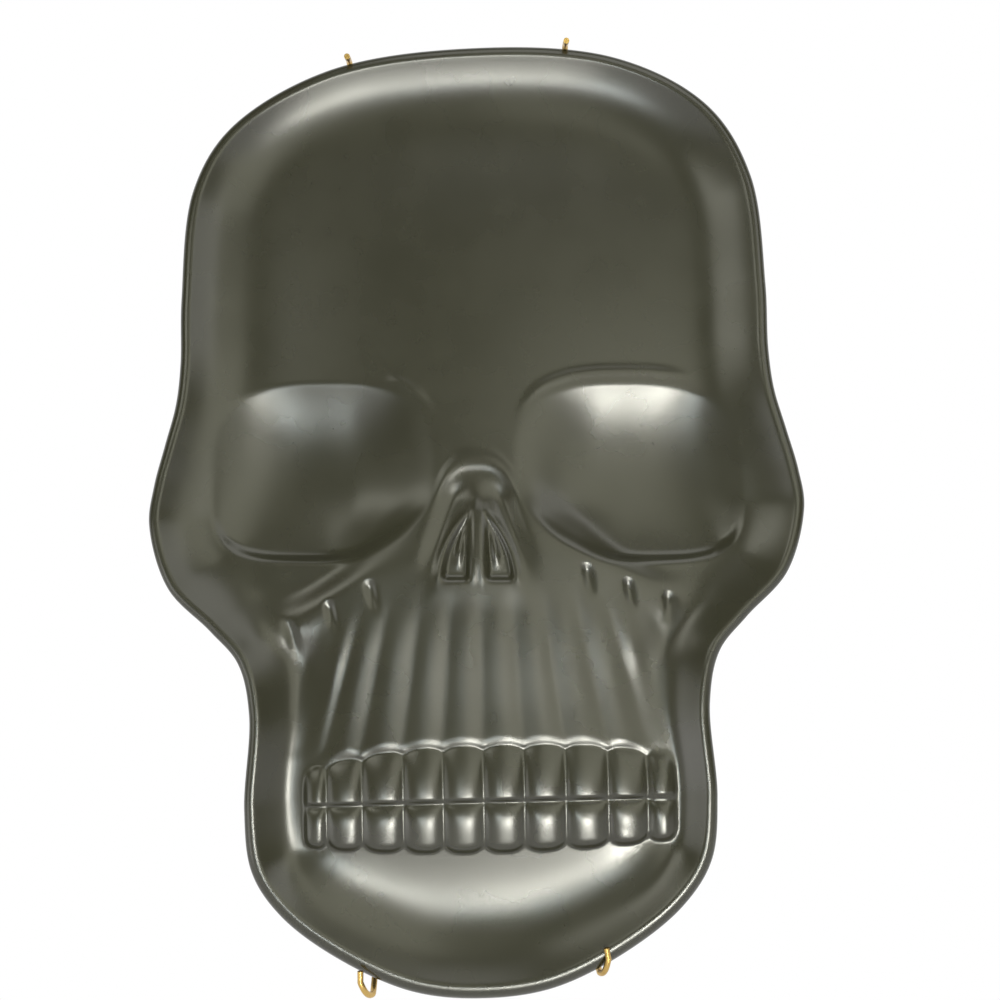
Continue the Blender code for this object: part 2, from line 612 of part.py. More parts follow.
def border_edges(quads):
    """Edges that only one face uses."""
    edges = np.vstack([quads[:, [k, (k + 1) % 4]] for k in range(4)])
    edges.sort(axis=1)
    edges, uses = np.unique(edges, axis=0, return_counts=True)
    return edges[uses == 1]


def fill_between(flat, edges):
    """Triangles that fill the flat band between two closed borders."""
    bm = bmesh.new()
    verts = {k: bm.verts.new((flat[k][0], flat[k][1], 0.0)) for k in np.unique(edges)}
    names = {vert: k for k, vert in verts.items()}
    lines = [bm.edges.new((verts[a], verts[b])) for a, b in edges]
    made = bmesh.ops.triangle_fill(bm, use_beauty=True, edges=lines, normal=(0.0, 0.0, 1.0))
    faces = [item for item in made["geom"] if isinstance(item, bmesh.types.BMFace)]
    triangles = [[names[vert] for vert in face.verts] for face in faces]
    bm.free()
    return triangles


def build_plate(collection, material, half):
    """The plate as one closed body, rings for back, rim and wall and a grid for the face, thinned out."""
    shape = PlateShape(half)
    rings = shape.back_rings() + shape.rim_rings()
    count = len(rings[0])
    middle = count // 2
    around = np.arange(count)
    folded = np.minimum(around, count - around)
    grid, quads = face_grid(shape)
    points = np.vstack([rings[0][: middle + 1], *rings[1:], grid])
    rows = [folded] + [middle + 1 + row * count + around for row in range(len(rings) - 1)]
    faces = []
    for here, there in zip(rows, rows[1:]):
        faces.extend(np.column_stack([here, there, np.roll(there, -1), np.roll(here, -1)]).tolist())
    first = len(points) - len(grid)
    edge_ring = rows[-1]
    border = np.vstack([border_edges(quads) + first, np.column_stack([edge_ring, np.roll(edge_ring, -1)])])
    faces.extend((quads + first).tolist())
    faces.extend(fill_between(points[:, [0, 2]], border))
    mesh = bpy.data.meshes.new("skull_plate")
    mesh.from_pydata(points.tolist(), [], faces)
    bm = bmesh.new()
    bm.from_mesh(mesh)
    bmesh.ops.recalc_face_normals(bm, faces=bm.faces)
    bm.to_mesh(mesh)
    bm.free()
    mesh.materials.append(material)
    mesh.shade_smooth()
    plate = bpy.data.objects.new("skull_plate", mesh)
    collection.objects.link(plate)
    thin = plate.modifiers.new("thin_facets", "DECIMATE")
    thin.ratio = PLATE_FACETS / sum(len(face) - 2 for face in faces)
    return plate


def bend_wire(corners, radius):
    """A wire's path through its corners, each rounded to a bend radius."""
    path = [corners[0]]
    for before, corner, after in zip(corners, corners[1:], corners[2:]):
        back = (before - corner).normalized()
        ahead = (after - corner).normalized()
        half = back.angle(ahead) / 2
        shorter = min((before - corner).length, (after - corner).length)
        reach = min(radius / math.tan(half), BEND_SHARE * shorter)
        fitted = reach * math.tan(half)
        centre = corner + (back + ahead).normalized() * (fitted / math.sin(half))
        start = corner + back * reach - centre
        axis, angle = start.rotation_difference(corner + ahead * reach - centre).to_axis_angle()
        steps = max(2, round(math.degrees(angle) / BEND_STEP))
        for k in range(steps + 1):
            path.append(centre + Matrix.Rotation(angle * k / steps, 3, axis) @ start)
    path.append(corners[-1])
    return path


def hook_profile(at_crown):
    """Hook section from tip to arm: distance in from the rim's edge, depth and share of splay."""
    lip = LIP_RADIUS if at_crown else CHIN_LIP_RADIUS
    lip_y = CREST_Y + lip
    grip = lip + HOOK_GAP + WIRE_RADIUS
    lean = math.radians(OUTER_WALL_ANGLE) - math.pi
    end = math.radians(UPPER_TIP_DROOP) - math.pi / 2 if at_crown else 0.0
    tip = UPPER_TIP_LENGTH if at_crown else LOWER_TIP_LENGTH
    points = []
    for angle in np.linspace(end, lean, 3 * ARC_STEPS // 2):
        turned = max(0.0, 1.0 + 2 * angle / math.pi)
        points.append((lip + grip * math.sin(angle), lip_y - grip * math.cos(angle), turned))
    inset, depth, turned = points[0]
    points.insert(0, (inset + tip * math.cos(end), depth + tip * math.sin(end), turned))
    inset, depth, turned = points[-1]
    points.append((inset - depth / math.tan(lean + math.pi), 0.0, turned))
    return points


def hook_path(apex, direction, stretch, at_crown):
    """A hook's path from its tip to the bend where its arm leaves the wall of the plate."""
    path = []
    splay = 0.0 if at_crown else LOWER_HOOK_SPLAY
    for inset, depth, turned in hook_profile(at_crown):
        along = (inset + HOOK_GAP + WIRE_RADIUS) * stretch
        x = apex[0] - direction[0] * along + splay * turned
        path.append(Vector((x, depth, apex[1] - direction[1] * along)))
    return path


def bent_wire(spacing, apex_level, eye_level, middle_level, stretch):
    """A hanger wire in its own frame: hook, arm, spring eye, middle bend, and the same mirrored."""
    apex = Vector((spacing / 2, apex_level))
    eye = Vector((EYE_SPACING / 2, eye_level))
    hook = hook_path(apex, (apex - eye).normalized(), stretch, apex_level > eye_level)
    middle = Vector((0.0, 0.0, middle_level))
    right = bend_wire([hook[-2], hook[-1], Vector((eye.x, 0.0, eye.y)), middle], WIRE_BEND_RADIUS)
    right = hook[:-2] + right[:-1]
    left = [Vector((-p.x, p.y, p.z)) for p in reversed(right)]
    bend = bend_wire([right[-1], middle, left[0]], LOOP_RADIUS)
    return right[:-1] + bend + left[1:]


def leaned(path, degrees, pivot):
    """A wire's path turned in the plane of the plate's back, about a pivot height."""
    turn = Matrix.Rotation(math.radians(-degrees), 3, "Y")
    centre = Vector((0.0, 0.0, pivot))
    return [centre + turn @ (p - centre) for p in path]


def build_tube(collection, material, name, path, diameter, sides):
    """A round wire along a path, closed at both ends."""
    curve = bpy.data.curves.new(name, "CURVE")
    curve.dimensions = "3D"
    curve.bevel_depth = diameter / 2
    curve.bevel_resolution = sides
    curve.use_fill_caps = True
    spline = curve.splines.new("POLY")
    spline.points.add(len(path) - 1)
    for point, place in zip(spline.points, path):
        point.co = (*place, 1.0)
    curve.materials.append(material)
    tube = bpy.data.objects.new(name, curve)
    collection.objects.link(tube)
    return tube


def hook_fit(half, place, at_crown, arm_angle):
    """Rim height at a hook, and how much longer the lip's section is along the hook's arm."""
    level, slope = rim_place(half, place, at_crown)
    normal_angle = -math.atan(slope) if at_crown else math.atan(slope)
    return level + CHIN_Z, 1 / math.cos(normal_angle - arm_angle)


def upper_wire_path(half):
    """W-shaped wire: two hooks over the crown, two spring eyes and the hanging loop between."""
    lean = math.radians(UPPER_LEAN)
    arm = math.atan2(UPPER_HOOK_SPACING - EYE_SPACING, 2 * (CROWN_ABOVE_NAIL + UPPER_EYE_DROP))
    fits = []
    for side in (-1, 1):
        x = side * UPPER_HOOK_SPACING / 2
        place = x * math.cos(lean) - CROWN_ABOVE_NAIL * math.sin(lean)
        rim, stretch = hook_fit(half, place, True, side * arm - lean)
        apex = rim + (HOOK_GAP + WIRE_RADIUS) * stretch
        fits.append(((apex - x * math.sin(lean)) / math.cos(lean), stretch))
    apex, stretch = max(fits)
    corner = WIRE_RADIUS
    for _ in range(LOOP_PASSES):
        opening = math.atan2(EYE_SPACING / 2, UPPER_EYE_DROP + corner)
        corner = WIRE_RADIUS + LOOP_RADIUS * (1 / math.sin(opening) - 1)
    return leaned(bent_wire(UPPER_HOOK_SPACING, apex, -UPPER_EYE_DROP, corner, stretch), UPPER_LEAN, 0.0)


def lower_wire_path(half):
    """M-shaped wire: two hooks under the jaw, two spring eyes and a valley between."""
    lean = math.radians(LOWER_LEAN)
    arm = math.atan2(LOWER_HOOK_SPACING - EYE_SPACING, 2 * LOWER_ARM_LENGTH)
    fits = []
    for side in (-1, 1):
        x = side * LOWER_HOOK_SPACING / 2
        place = x * math.cos(lean) + LOWER_PIVOT_RISE * math.sin(lean)
        rim, stretch = hook_fit(half, place, False, side * arm + lean)
        apex = rim - (HOOK_GAP + WIRE_RADIUS) * stretch
        fits.append((apex - x * math.sin(lean) - LOWER_PIVOT_RISE * (1 - math.cos(lean)), stretch))
    apex, stretch = min(fits)
    eye = apex + LOWER_ARM_LENGTH
    path = bent_wire(LOWER_HOOK_SPACING, apex, eye, eye - LOWER_VALLEY_DROP, stretch)
    return leaned(path, LOWER_LEAN, apex + LOWER_PIVOT_RISE)


def eye_point(path, side, lowest):
    """Place on a wire where a spring hooks on: the end of its eye on one side."""
    own = [p for p in path if p.x * side > 0.2 * EYE_SPACING and abs(p.y) < WIRE_RADIUS]
    return min(own, key=lambda p: p.z if lowest else -p.z)


def spring_path(top, bottom):
    """One unbroken spring wire: a hook, the curls and a second hook turned the other way."""
    axis = (bottom - top).normalized()
    length = (bottom - top).length
    front = Vector((0.0, 1.0, 0.0))
    side = front.cross(axis).normalized()
    radius = (SPRING_DIAMETER - SPRING_WIRE) / 2
    grip = WIRE_RADIUS + WIRE_CLEARANCE + SPRING_WIRE / 2

    def place(u, v, w):
        return top + side * u + front * v + axis * w

    hook = [(0.0, -grip, SPRING_WIRE), (0.0, -grip, 0.0)]
    for angle in np.linspace(math.pi, 0.0, ARC_STEPS + 2)[1:]:
        hook.append((0.0, grip * math.cos(angle), -grip * math.sin(angle)))
    path = [place(*p) for p in hook]
    curls = length - 2 * SPRING_LEAD
    total = SPRING_TURNS * CURL_POINTS
    for k in range(total + 1):
        angle = 2 * math.pi * k / CURL_POINTS
        along = SPRING_LEAD + curls * k / total
        path.append(place(radius * math.sin(angle), radius * math.cos(angle), along))
    path.extend(place(u, v, length - w) for u, v, w in reversed(hook))
    return path


def least_self_gap(path, diameter):
    """Smallest clear distance between turns of one tube, measured on its points."""
    points = np.array([tuple(p) for p in path])
    steps = np.linalg.norm(np.diff(points, axis=0), axis=1)
    travel = np.concatenate([[0.0], np.cumsum(steps)])
    apart = np.linalg.norm(points[:, None] - points[None, :], axis=2)
    along = np.abs(travel[:, None] - travel[None, :])
    return float(apart[along > 4 * diameter].min() - diameter)


def main():
    """Build the plate and its hanger."""
    clear_scene()
    collection = bpy.data.collections.new("skull_wall_plate")
    bpy.context.scene.collection.children.link(collection)
    glaze = make_material("black_glaze", (0.024, 0.0235, 0.0135), 0.32, 0.0)
    brass = make_material("brass_wire", (0.55, 0.38, 0.13), 0.3, 1.0)
    steel = make_material("spring_steel", (0.50, 0.48, 0.44), 0.32, 1.0)
    half = spline_through(outline_corners(), OUTLINE_STEPS)
    build_plate(collection, glaze, half)
    upper = upper_wire_path(half)
    lower = lower_wire_path(half)
    build_tube(collection, brass, "upper_wire", upper, WIRE_DIAMETER, 2)
    build_tube(collection, brass, "lower_wire", lower, WIRE_DIAMETER, 2)
    for name, side in (("spring_left", -1), ("spring_right", 1)):
        path = spring_path(eye_point(upper, side, True), eye_point(lower, side, False))
        build_tube(collection, steel, name, path, SPRING_WIRE, 1)
        print(name, "least gap to itself in mm:", round(least_self_gap(path, SPRING_WIRE) * 1000, 2))


main()
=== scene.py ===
"""Dresses a skull-shaped glazed wall plate and its spring wire hanger for a studio picture.

The plate hangs upright on a pale wall. Its face looks towards -Y and its crown is towards +Z.
Lengths are in metres and angles in degrees. Levels are heights above the chin.
"""

import math

import bmesh
import bpy
import numpy as np
from bpy.props import FloatProperty, FloatVectorProperty, IntProperty, PointerProperty
from bpy.types import Operator, Panel, PropertyGroup
from mathutils import Matrix, Vector


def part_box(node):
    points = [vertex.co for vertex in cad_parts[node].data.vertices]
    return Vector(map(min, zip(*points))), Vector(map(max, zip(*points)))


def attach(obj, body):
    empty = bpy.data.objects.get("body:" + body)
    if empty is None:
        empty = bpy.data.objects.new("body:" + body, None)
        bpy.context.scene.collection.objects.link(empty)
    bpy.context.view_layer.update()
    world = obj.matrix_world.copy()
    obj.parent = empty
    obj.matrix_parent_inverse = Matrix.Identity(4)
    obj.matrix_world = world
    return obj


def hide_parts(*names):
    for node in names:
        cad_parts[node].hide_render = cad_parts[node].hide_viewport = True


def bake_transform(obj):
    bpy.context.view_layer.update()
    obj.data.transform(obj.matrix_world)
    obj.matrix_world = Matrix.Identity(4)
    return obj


bl_info = {
    "name": "Skull Wall Plate",
    "version": (1, 0, 0),
    "blender": (4, 5, 0),
    "location": "View3D > Sidebar > Wall Plate",
    "description": "Builds a glazed skull wall plate, its wire hanger and a studio stage",
    "category": "Object",
}

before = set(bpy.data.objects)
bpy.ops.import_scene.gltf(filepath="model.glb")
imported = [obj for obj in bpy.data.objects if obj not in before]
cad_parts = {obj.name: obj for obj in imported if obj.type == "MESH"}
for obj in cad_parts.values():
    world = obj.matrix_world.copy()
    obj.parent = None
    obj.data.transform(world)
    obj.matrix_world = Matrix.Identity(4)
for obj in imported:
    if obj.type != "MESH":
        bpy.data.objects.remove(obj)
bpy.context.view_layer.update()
PLATE_LOW, PLATE_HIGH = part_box("skull_plate")
ROOT_BODY = "plate_on_wire"
LOWER_BODY = "lower_hooks"


def length(name, description, default):
    """A length setting for the sidebar."""
    return FloatProperty(name=name, description=description, default=default, unit="LENGTH", precision=5)


def colour(name, description, default):
    """A colour setting for the sidebar."""
    return FloatVectorProperty(
        name=name, description=description, default=default, subtype="COLOR", size=3, min=0.0, max=1.0
    )


class PlateSettings(PropertyGroup):
    """Outline, section and carving of the plate."""

    height: length("Height", "Chin to crown", PLATE_HIGH.z - PLATE_LOW.z)
    cranium_width: length("Cranium Width", "Width across the temples", 0.1896)
    crown_shoulder: length("Crown Shoulder", "Height over which the crown rounds off", 0.081)
    brow_level: length("Brow Level", "Level where the sides start to flare", 0.202)
    cheek_width: length("Cheek Width", "Width across the cheeks", PLATE_HIGH.x - PLATE_LOW.x)
    cheek_level: length("Cheek Level", "Level of the widest place", 0.1505)
    waist_width: length("Waist Width", "Width between cheeks and jaw", 0.1458)
    waist_level: length("Waist Level", "Level of the waist", 0.0895)
    jaw_width: length("Jaw Width", "Width across the jaw", 0.149)
    jaw_level: length("Jaw Level", "Level of the widest place of the jaw", 0.060)
    lip_radius: length("Lip Radius", "Radius of the round lip at crown and sides", 0.0025)
    chin_lip_radius: length("Chin Lip Radius", "Radius of the round lip at the chin", 0.0036)
    dish_depth: length("Dish Depth", "Lip crest to floor", 0.0078)
    wall_run: length("Wall Run", "Length over which the inner wall eases out at crown and sides", 0.0117)
    wall_reach: length("Wall Reach", "How far the inner wall reaches in at crown and sides", 0.020)
    jaw_run: length("Jaw Run", "Length over which the inner wall eases out round the jaw", 0.0099)
    jaw_reach: length("Jaw Reach", "How far the inner wall reaches in round the jaw", 0.0125)
    chin_run: length("Chin Run", "Length over which the inner wall eases out over the chin", 0.0140)
    chin_reach: length("Chin Reach", "How far the inner wall reaches in over the chin", 0.0220)
    floor_thickness: length("Floor Thickness", "Floor to base", 0.0085)
    foot_height: length("Foot Height", "Height of the ring behind the base", 0.003)
    eye_depth: length("Eye Depth", "Depth of the eye sockets under the brow", 0.0052)
    tooth_rise: length("Tooth Rise", "How far the teeth stand out of their grooves", 0.0019)
    outline_steps: IntProperty(name="Outline Steps", description="Points on half the outline", default=380)


class GlazeSettings(PropertyGroup):
    """Colour and blur of the dark satin glaze."""

    body: colour("Glaze", "Dark glaze over the body", (0.024, 0.0235, 0.0135))
    roughness: FloatProperty(name="Roughness", description="Blur of the glaze", default=0.24)


class HangerSettings(PropertyGroup):
    """Wires and springs of the hanger."""

    wire: length("Wire", "Diameter of the bent wires", 0.0019)
    spring_wire: length("Spring Wire", "Diameter of the spring wire", 0.0010)
    spring_diameter: length("Spring Diameter", "Outside diameter of the springs", 0.0068)
    spring_turns: IntProperty(name="Spring Turns", description="Curls of each spring", default=26)
    brass: colour("Brass", "Colour of the bent wires", (0.60, 0.40, 0.13))
    steel: colour("Steel", "Colour of the springs", (0.52, 0.50, 0.46))


class StageSettings(PropertyGroup):
    """Camera, sky and backdrop."""

    lens: FloatProperty(name="Lens", description="Focal length on a 36 mm sensor", default=45.0)
    distance: length("Distance", "Camera to the aim point", 0.400)
    tilt: FloatProperty(name="Tilt", description="Degrees that the camera looks up", default=4.0)
    roll: FloatProperty(name="Roll", description="Degrees that the picture leans to the left", default=0.9)
    sky: FloatProperty(name="Sky", description="Strength of the soft light from all round", default=0.22)
    aim_x: length("Aim Across", "Aim point to the right of the plate's middle", 0.0075)
    aim_level: length("Aim Level", "Aim point above the chin", 0.1556)
    floor_drop: length("Floor Drop", "Floor below the nail", 0.52)
    wall: colour("Wall", "Backdrop", (0.93, 0.92, 0.88))


# Outline: where it passes between its corners, as shares across and along.
CROWN_SHARES = ((0.50, 0.068), (0.822, 0.284), (0.957, 0.556), (0.997, 1.0))
TEMPLE_SHARES = ((0.145, 0.252), (0.50, 0.507), (0.85, 0.761))
CHEEK_SHARES = ((0.19, 0.334), (0.615, 0.564), (0.89, 0.735))
JAW_SHARES = ((0.969, 0.675), (0.85, 0.45), (0.616, 0.227), (0.30, 0.045))

# How far the cast plate is out of true: slopes, and the levels where the crown starts to lean.
SKEW = 0.012
CROWN_SKEW = 0.022
CROWN_LEVELS = (0.25, 0.305)
FACE_TILT = -0.026
MOUTH_TILT = -0.003

# Section of the plate.
LIP_GROW_LEVELS = (0.075, 0.0)
JAW_WALL_LEVELS = (0.125, 0.085)
CHIN_WALL_LEVELS = (0.045, 0.015)
CARVING_RUN = (0.007, 0.017)
BROAD_GLAZE = 0.0010
FINE_GLAZE = 0.0004
GLAZE_PROBES = 8
OUTER_WALL_ANGLE = 52.0
HEEL_RADIUS = 0.004
FOOT_INSET = 0.005
FOOT_WIDTH = 0.005
FOOT_SIDE_RUN = 0.0012
SPINE_SHARES = (0.80, 0.15)
SPINE_WEIGHTS = (0.8, 0.2)

# Eye sockets and brows.
EYE_CENTRE_X = 0.0486
EYE_LEVEL = 0.1648
EYE_WIDTH = 0.0745
EYE_HEIGHT = 0.0590
EYE_SQUARE = 2.8
EYE_CORNER = 1.3
EYE_NASAL_ROUND = 0.6
EYE_CORNER_RUN = 0.6
EYE_NASAL_TAPER = 0.10
EYE_TAPER_SPAN = (0.3, -1.0)
EYE_NASAL_RUN = 0.030
EYE_CLOSE_POWER = 3.0
EYE_CLOSE_SPAN = (0.1, -0.5)
EYE_SIDE_POWER = 2.4
EYE_FALL = 0.033
BROW_RISE = 0.0004
BROW_WIDTH = 0.0013
BROW_GAP = 0.0040
BROW_START = 0.022
BROW_REACH = (0.030, 0.074)
BROW_TAIL = 0.8
BROW_RISE_SPAN = (-0.2, 0.3)
LID_RUN = 0.0036
LID_NASAL_SOFTNESS = 1.0
LID_NASAL_SPAN = (0.2, -0.7)

# Nose: an arch of bone over a hollow, a mound between two grooves, two nostrils and a sill.
NOSE_ARCH_LEVEL = 0.1690
NOSE_ARCH_FALL = 0.0060
NOSE_ARCH_HALF = 0.0109
NOSE_ARCH_POWER = 2.7
NOSE_ARCH_ENDS = (1.35, 0.9)
NOSE_ARCH_RISE = 0.0004
NOSE_ARCH_RUN = 0.0055
NOSE_DEPTH = 0.00045
NOSE_LIP_RUN = 0.0047
NOSE_HOLLOW_LEVELS = (0.147, 0.160)
NOSE_GROOVE_X = 0.0076
NOSE_GROOVE_LEVEL = 0.157
NOSE_GROOVE_SPREAD = 0.36
NOSE_GROOVE_DEPTH = 0.0010
NOSE_GROOVE_WIDTH = 0.0032
NOSE_GROOVE_SPAN = (0.127, 0.146, 0.155, 0.165)
NOSE_MOUND_RISE = 0.0003
NOSE_MOUND_RUN = 0.006
NOSE_MOUND_SPAN = (0.118, 0.132, 0.146, 0.158)
NOSTRIL_FOOT_LEVEL = 0.1295
NOSTRIL_TOP_LEVEL = 0.1525
NOSTRIL_TIP_X = 0.0021
NOSTRIL_INNER_X = 0.0022
NOSTRIL_OUTER_X = 0.0122
NOSTRIL_ROUND = 2.2
NOSTRIL_DEPTH = 0.0018
NOSTRIL_WALL_RUN = 0.0022
NOSTRIL_FOLD_SHARE = 0.42
NOSTRIL_FOLD_WIDTH = 0.0011
NOSTRIL_FOLD_FILL = 0.6
NOSTRIL_FOLD_SPAN = (0.1, 0.5)
NOSTRIL_FOOT_SPAN = (-0.02, 0.12)
NOSTRIL_RIM_SPAN = (-0.1, 0.15, 0.95, 1.2)
NOSTRIL_RIM_RISE = 0.0003
NOSTRIL_RIM_WIDTH = 0.0008
SEPTUM_RISE = 0.0005
SEPTUM_WIDTH = 0.0014
SEPTUM_SPAN = (0.128, 0.138, 0.152, 0.160)

# Muzzle: the raised upper jaw, its tooth-root flutes and the notches under the cheeks.
MUZZLE_TOP_LEVEL = 0.132
MUZZLE_CORNER_DROP = 0.0115
MUZZLE_TILT = 0.05
MUZZLE_CORNER_REACH = (0.029, 0.067)
MUZZLE_WIDTH = 0.109
MUZZLE_FLARE = 0.010
MUZZLE_FLARE_LEVELS = (0.095, 0.122)
MUZZLE_SIDE_RUN = 0.016
MUZZLE_SIDE_FALL = 0.3
MUZZLE_RISE = 0.0022
MUZZLE_EDGE_RUN = 0.012
MUZZLE_NOSE_RUN = 0.024
MUZZLE_NOSE_REACH = (0.048, 0.012)
MUZZLE_FADE_LEVELS = (0.030, 0.080)
FLUTE_RISE = 0.00045
FLUTE_ROUND = 0.6
FLUTE_WAVE = 0.2
FLUTE_LEAN = 5.0
FLUTE_TOP_RUN = 0.024
FLUTE_FOOT_RUN = 0.004
NOTCH_PLACES = (0.0349, 0.0480, 0.0607)
NOTCH_DEPTH = 0.0010
NOTCH_WIDTH = 0.0011
NOTCH_LENGTH = 0.0105
NOTCH_LEAN = 0.20
NOTCH_HEAD = (-0.15, 0.10)
NOTCH_TAIL = (1.1, 0.2)

# Teeth: two rows that meet at the bite under a roll of gum, the mouth bulging along the bite.
BITE_LEVEL = 0.0600
UPPER_TOOTH_HEIGHT = 0.0183
LOWER_TOOTH_HEIGHT = 0.0160
UPPER_CREST = 0.92
LOWER_CREST = 0.76
GUM_PEAK_X = 0.006
GUM_RECEDE = 0.0062
GUM_FALL_POWER = 3
GUM_SCALLOP = 0.0014
GUM_SCALLOP_POWER = 2.5
ROOT_RECEDE = 0.0030
ROOT_FALL_POWER = 2
ROOT_SCALLOP = 0.0024
ROOT_SCALLOP_POWER = 3
ROW_LIMIT = 1.1
TEETH_MIDDLE = 0.0009
TOOTH_EDGES = (
    -0.0562, -0.0489, -0.0376, -0.0245, -0.0119, 0.0009,
    0.0138, 0.0269, 0.0404, 0.0529, 0.0620,
)
TOOTH_FLANK = 2.3
UPPER_SQUARE = 1.5
LOWER_SQUARE = 2.9
PILLOW_ROUND = 0.6
GUM_STEP = 0.0006
GUM_EDGE = (0.0004, -0.0008)
GUM_ROUND = 0.00028
GUM_ROLL = 0.0025
GUM_CURVE = 1.3
GUM_END_RUN = 0.016
MOUTH_BULGE = 0.0021
MOUTH_BULGE_HEIGHT = 0.022
MOUTH_FADE = (-0.024, 0.016)
MOUTH_END_RUN = 0.012

# Fineness of the meshes: steps, passes, and grid lines as places with the spacing that follows each.
SPLINE_STEPS = 60
RIM_STEPS = 200
RIM_PROBE = 0.001
WALL_FIRST_GUESS = 45.0
WALL_PASSES = 8
WALL_RINGS = 26
BACK_RINGS = 14
FACE_EDGE = 0.020
FACE_MARGIN = 0.0008
GRID_ACROSS = ((-0.096, 0.0009), (-0.062, 0.00055), (0.062, 0.0009), (0.096, 0.0))
GRID_LEVELS = (
    (0.012, 0.0010), (0.040, 0.0005), (0.082, 0.0008), (0.118, 0.0006),
    (0.176, 0.0007), (0.202, 0.0014), (0.292, 0.0),
)
FOOT_STEPS = 5
ARC_STEPS = 10
BEND_STEP = 9.0
BEND_SHARE = 0.45
CURL_POINTS = 20
LOOP_PASSES = 12
WIRE_SIDES = 5
SPRING_SIDES = 2

# Hanger.
WIRE_CLEARANCE = 0.0003
WIRE_BEND_RADIUS = 0.003
LOOP_RADIUS = 0.004
HOOK_SPACING = 0.0712
HOOK_GAP = 0.0006
UPPER_TIP_DROOP = 14.0
UPPER_TIP_LENGTH = 0.006
LOWER_TIP_LENGTH = 0.0032
LOWER_HOOK_SPLAY = 0.0033
EYE_SPACING = 0.056
EYE_ZONE = 0.2
UPPER_EYE_DROP = 0.046
LOWER_ARM_LENGTH = 0.088
LOWER_VALLEY_DROP = 0.030
UPPER_LEAN = 3.3
LOWER_LEAN = 4.4
LOWER_PIVOT_RISE = 0.011
SPRING_LEAD = 0.0045

# Materials: scales of grain and cloud, ranges of the cloud that tell, bump strength and height.
GRAIN_DETAIL = (("Fine", 2.0), ("Cloud", 4.0))
GLAZE_IOR = 1.65
GLAZE_GRAIN = (1400.0, 45.0)
GLAZE_BUMP = (0.05, 0.0002)
GLAZE_CLOUD = 1.12
GLAZE_TONE = (0.3, 0.7)
GLAZE_BLUR = (0.2, 0.8)
GLAZE_BLUR_RANGE = (-0.02, 0.03)
METAL_GRAIN = (1800.0, 120.0)
METAL_BUMP = (0.15, 0.00005)
METAL_TARNISH = (0.45, 0.75)
METAL_BLUR = (0.3, 0.8)
METAL_BLUR_RANGE = (0.0, 0.2)
BRASS_ROUGHNESS, BRASS_DARK = 0.28, 0.5
STEEL_ROUGHNESS, STEEL_DARK = 0.30, 0.6
BACKDROP_ROUGHNESS = 0.9

# Stage. Each lamp: watts, its place from the chin, the level that it faces, its size, spread and tint.
WALL_Y = 0.0045
STAGE_HALF = 2.0
SENSOR_WIDTH = 36.0
CLIP_START = 0.01
SKY_TINT = (1.0, 1.0, 0.76, 1.0)
LAMPS = {
    "key": (1.45, (0.08, -0.75, -0.172), 0.12, (0.28, 0.26), 180.0, (1.0, 1.0, 0.89)),
    "core": (0.16, (0.085, -0.75, -0.105), 0.05, (0.11, 0.09), 60.0, (1.0, 0.99, 0.88)),
    "window": (0.36, (-0.085, -0.75, -0.045), 0.12, (0.07, 0.08), 180.0, (0.90, 1.0, 0.98)),
    "left_box": (0.65, (-0.42, -0.76, 0.385), 0.12, (0.46, 0.17), 180.0, (1.0, 1.0, 0.87)),
    "far_box": (0.5, (-0.62, -0.42, -0.02), 0.12, (0.35, 0.35), 180.0, (1.0, 1.0, 0.96)),
    "room": (0.74, (0.24, -0.74, 0.22), 0.12, (0.46, 0.36), 180.0, (1.0, 1.0, 0.82)),
    "right_box": (0.75, (0.62, -0.62, 0.469), 0.12, (0.45, 0.36), 180.0, (1.0, 1.0, 0.96)),
    "top_box": (1.7, (0.15, -0.55, 0.779), 0.12, (0.60, 0.60), 180.0, (1.0, 1.0, 0.96)),
}


def smooth(low, high, value):
    """Ease from 0 at low to 1 at high."""
    t = np.clip((value - low) / (high - low), 0.0, 1.0)
    return t**3 * (10.0 + t * (6.0 * t - 15.0))


def bell(value, width):
    """A round-topped bump, 1 in the middle and almost 0 at twice the width."""
    return np.exp(-((value / width) ** 2))


def between(start, end, shares):
    """Places part of the way from one corner to another, with a share across and a share along."""
    return [(start[0] + a * (end[0] - start[0]), start[1] + b * (end[1] - start[1])) for a, b in shares]


def window(value, low, full, ebb, high):
    """Ease in from low to full, and out again from ebb to high."""
    return smooth(low, full, value) * smooth(high, ebb, value)


def outline_corners(s):
    """Right half of the plate's outline, from the crown to the chin, as shape points."""
    brow = (s.cranium_width / 2, s.brow_level)
    cheek = (s.cheek_width / 2, s.cheek_level)
    waist = (s.waist_width / 2, s.waist_level)
    jaw = (s.jaw_width / 2, s.jaw_level)
    crown = (0.0, s.height)
    shoulder = (brow[0], s.height - s.crown_shoulder)
    corners = [crown, *between(crown, shoulder, CROWN_SHARES)]
    corners += [brow, *between(brow, cheek, TEMPLE_SHARES)]
    corners += [cheek, *between(cheek, waist, CHEEK_SHARES)]
    corners += [waist, jaw, *between((0.0, 0.0), jaw, JAW_SHARES)]
    return corners + [(0.0, 0.0)]


def skewed(x, level):
    """Level of a place on the plate, which stands a little higher to the right, most so at its crown."""
    return level + SKEW * x + CROWN_SKEW * x * smooth(*CROWN_LEVELS, level)


def mixed(t, start, end, first, second):
    """A point between two others, by where t is between start and end."""
    return (first * (end - t) + second * (t - start)) / (end - start)


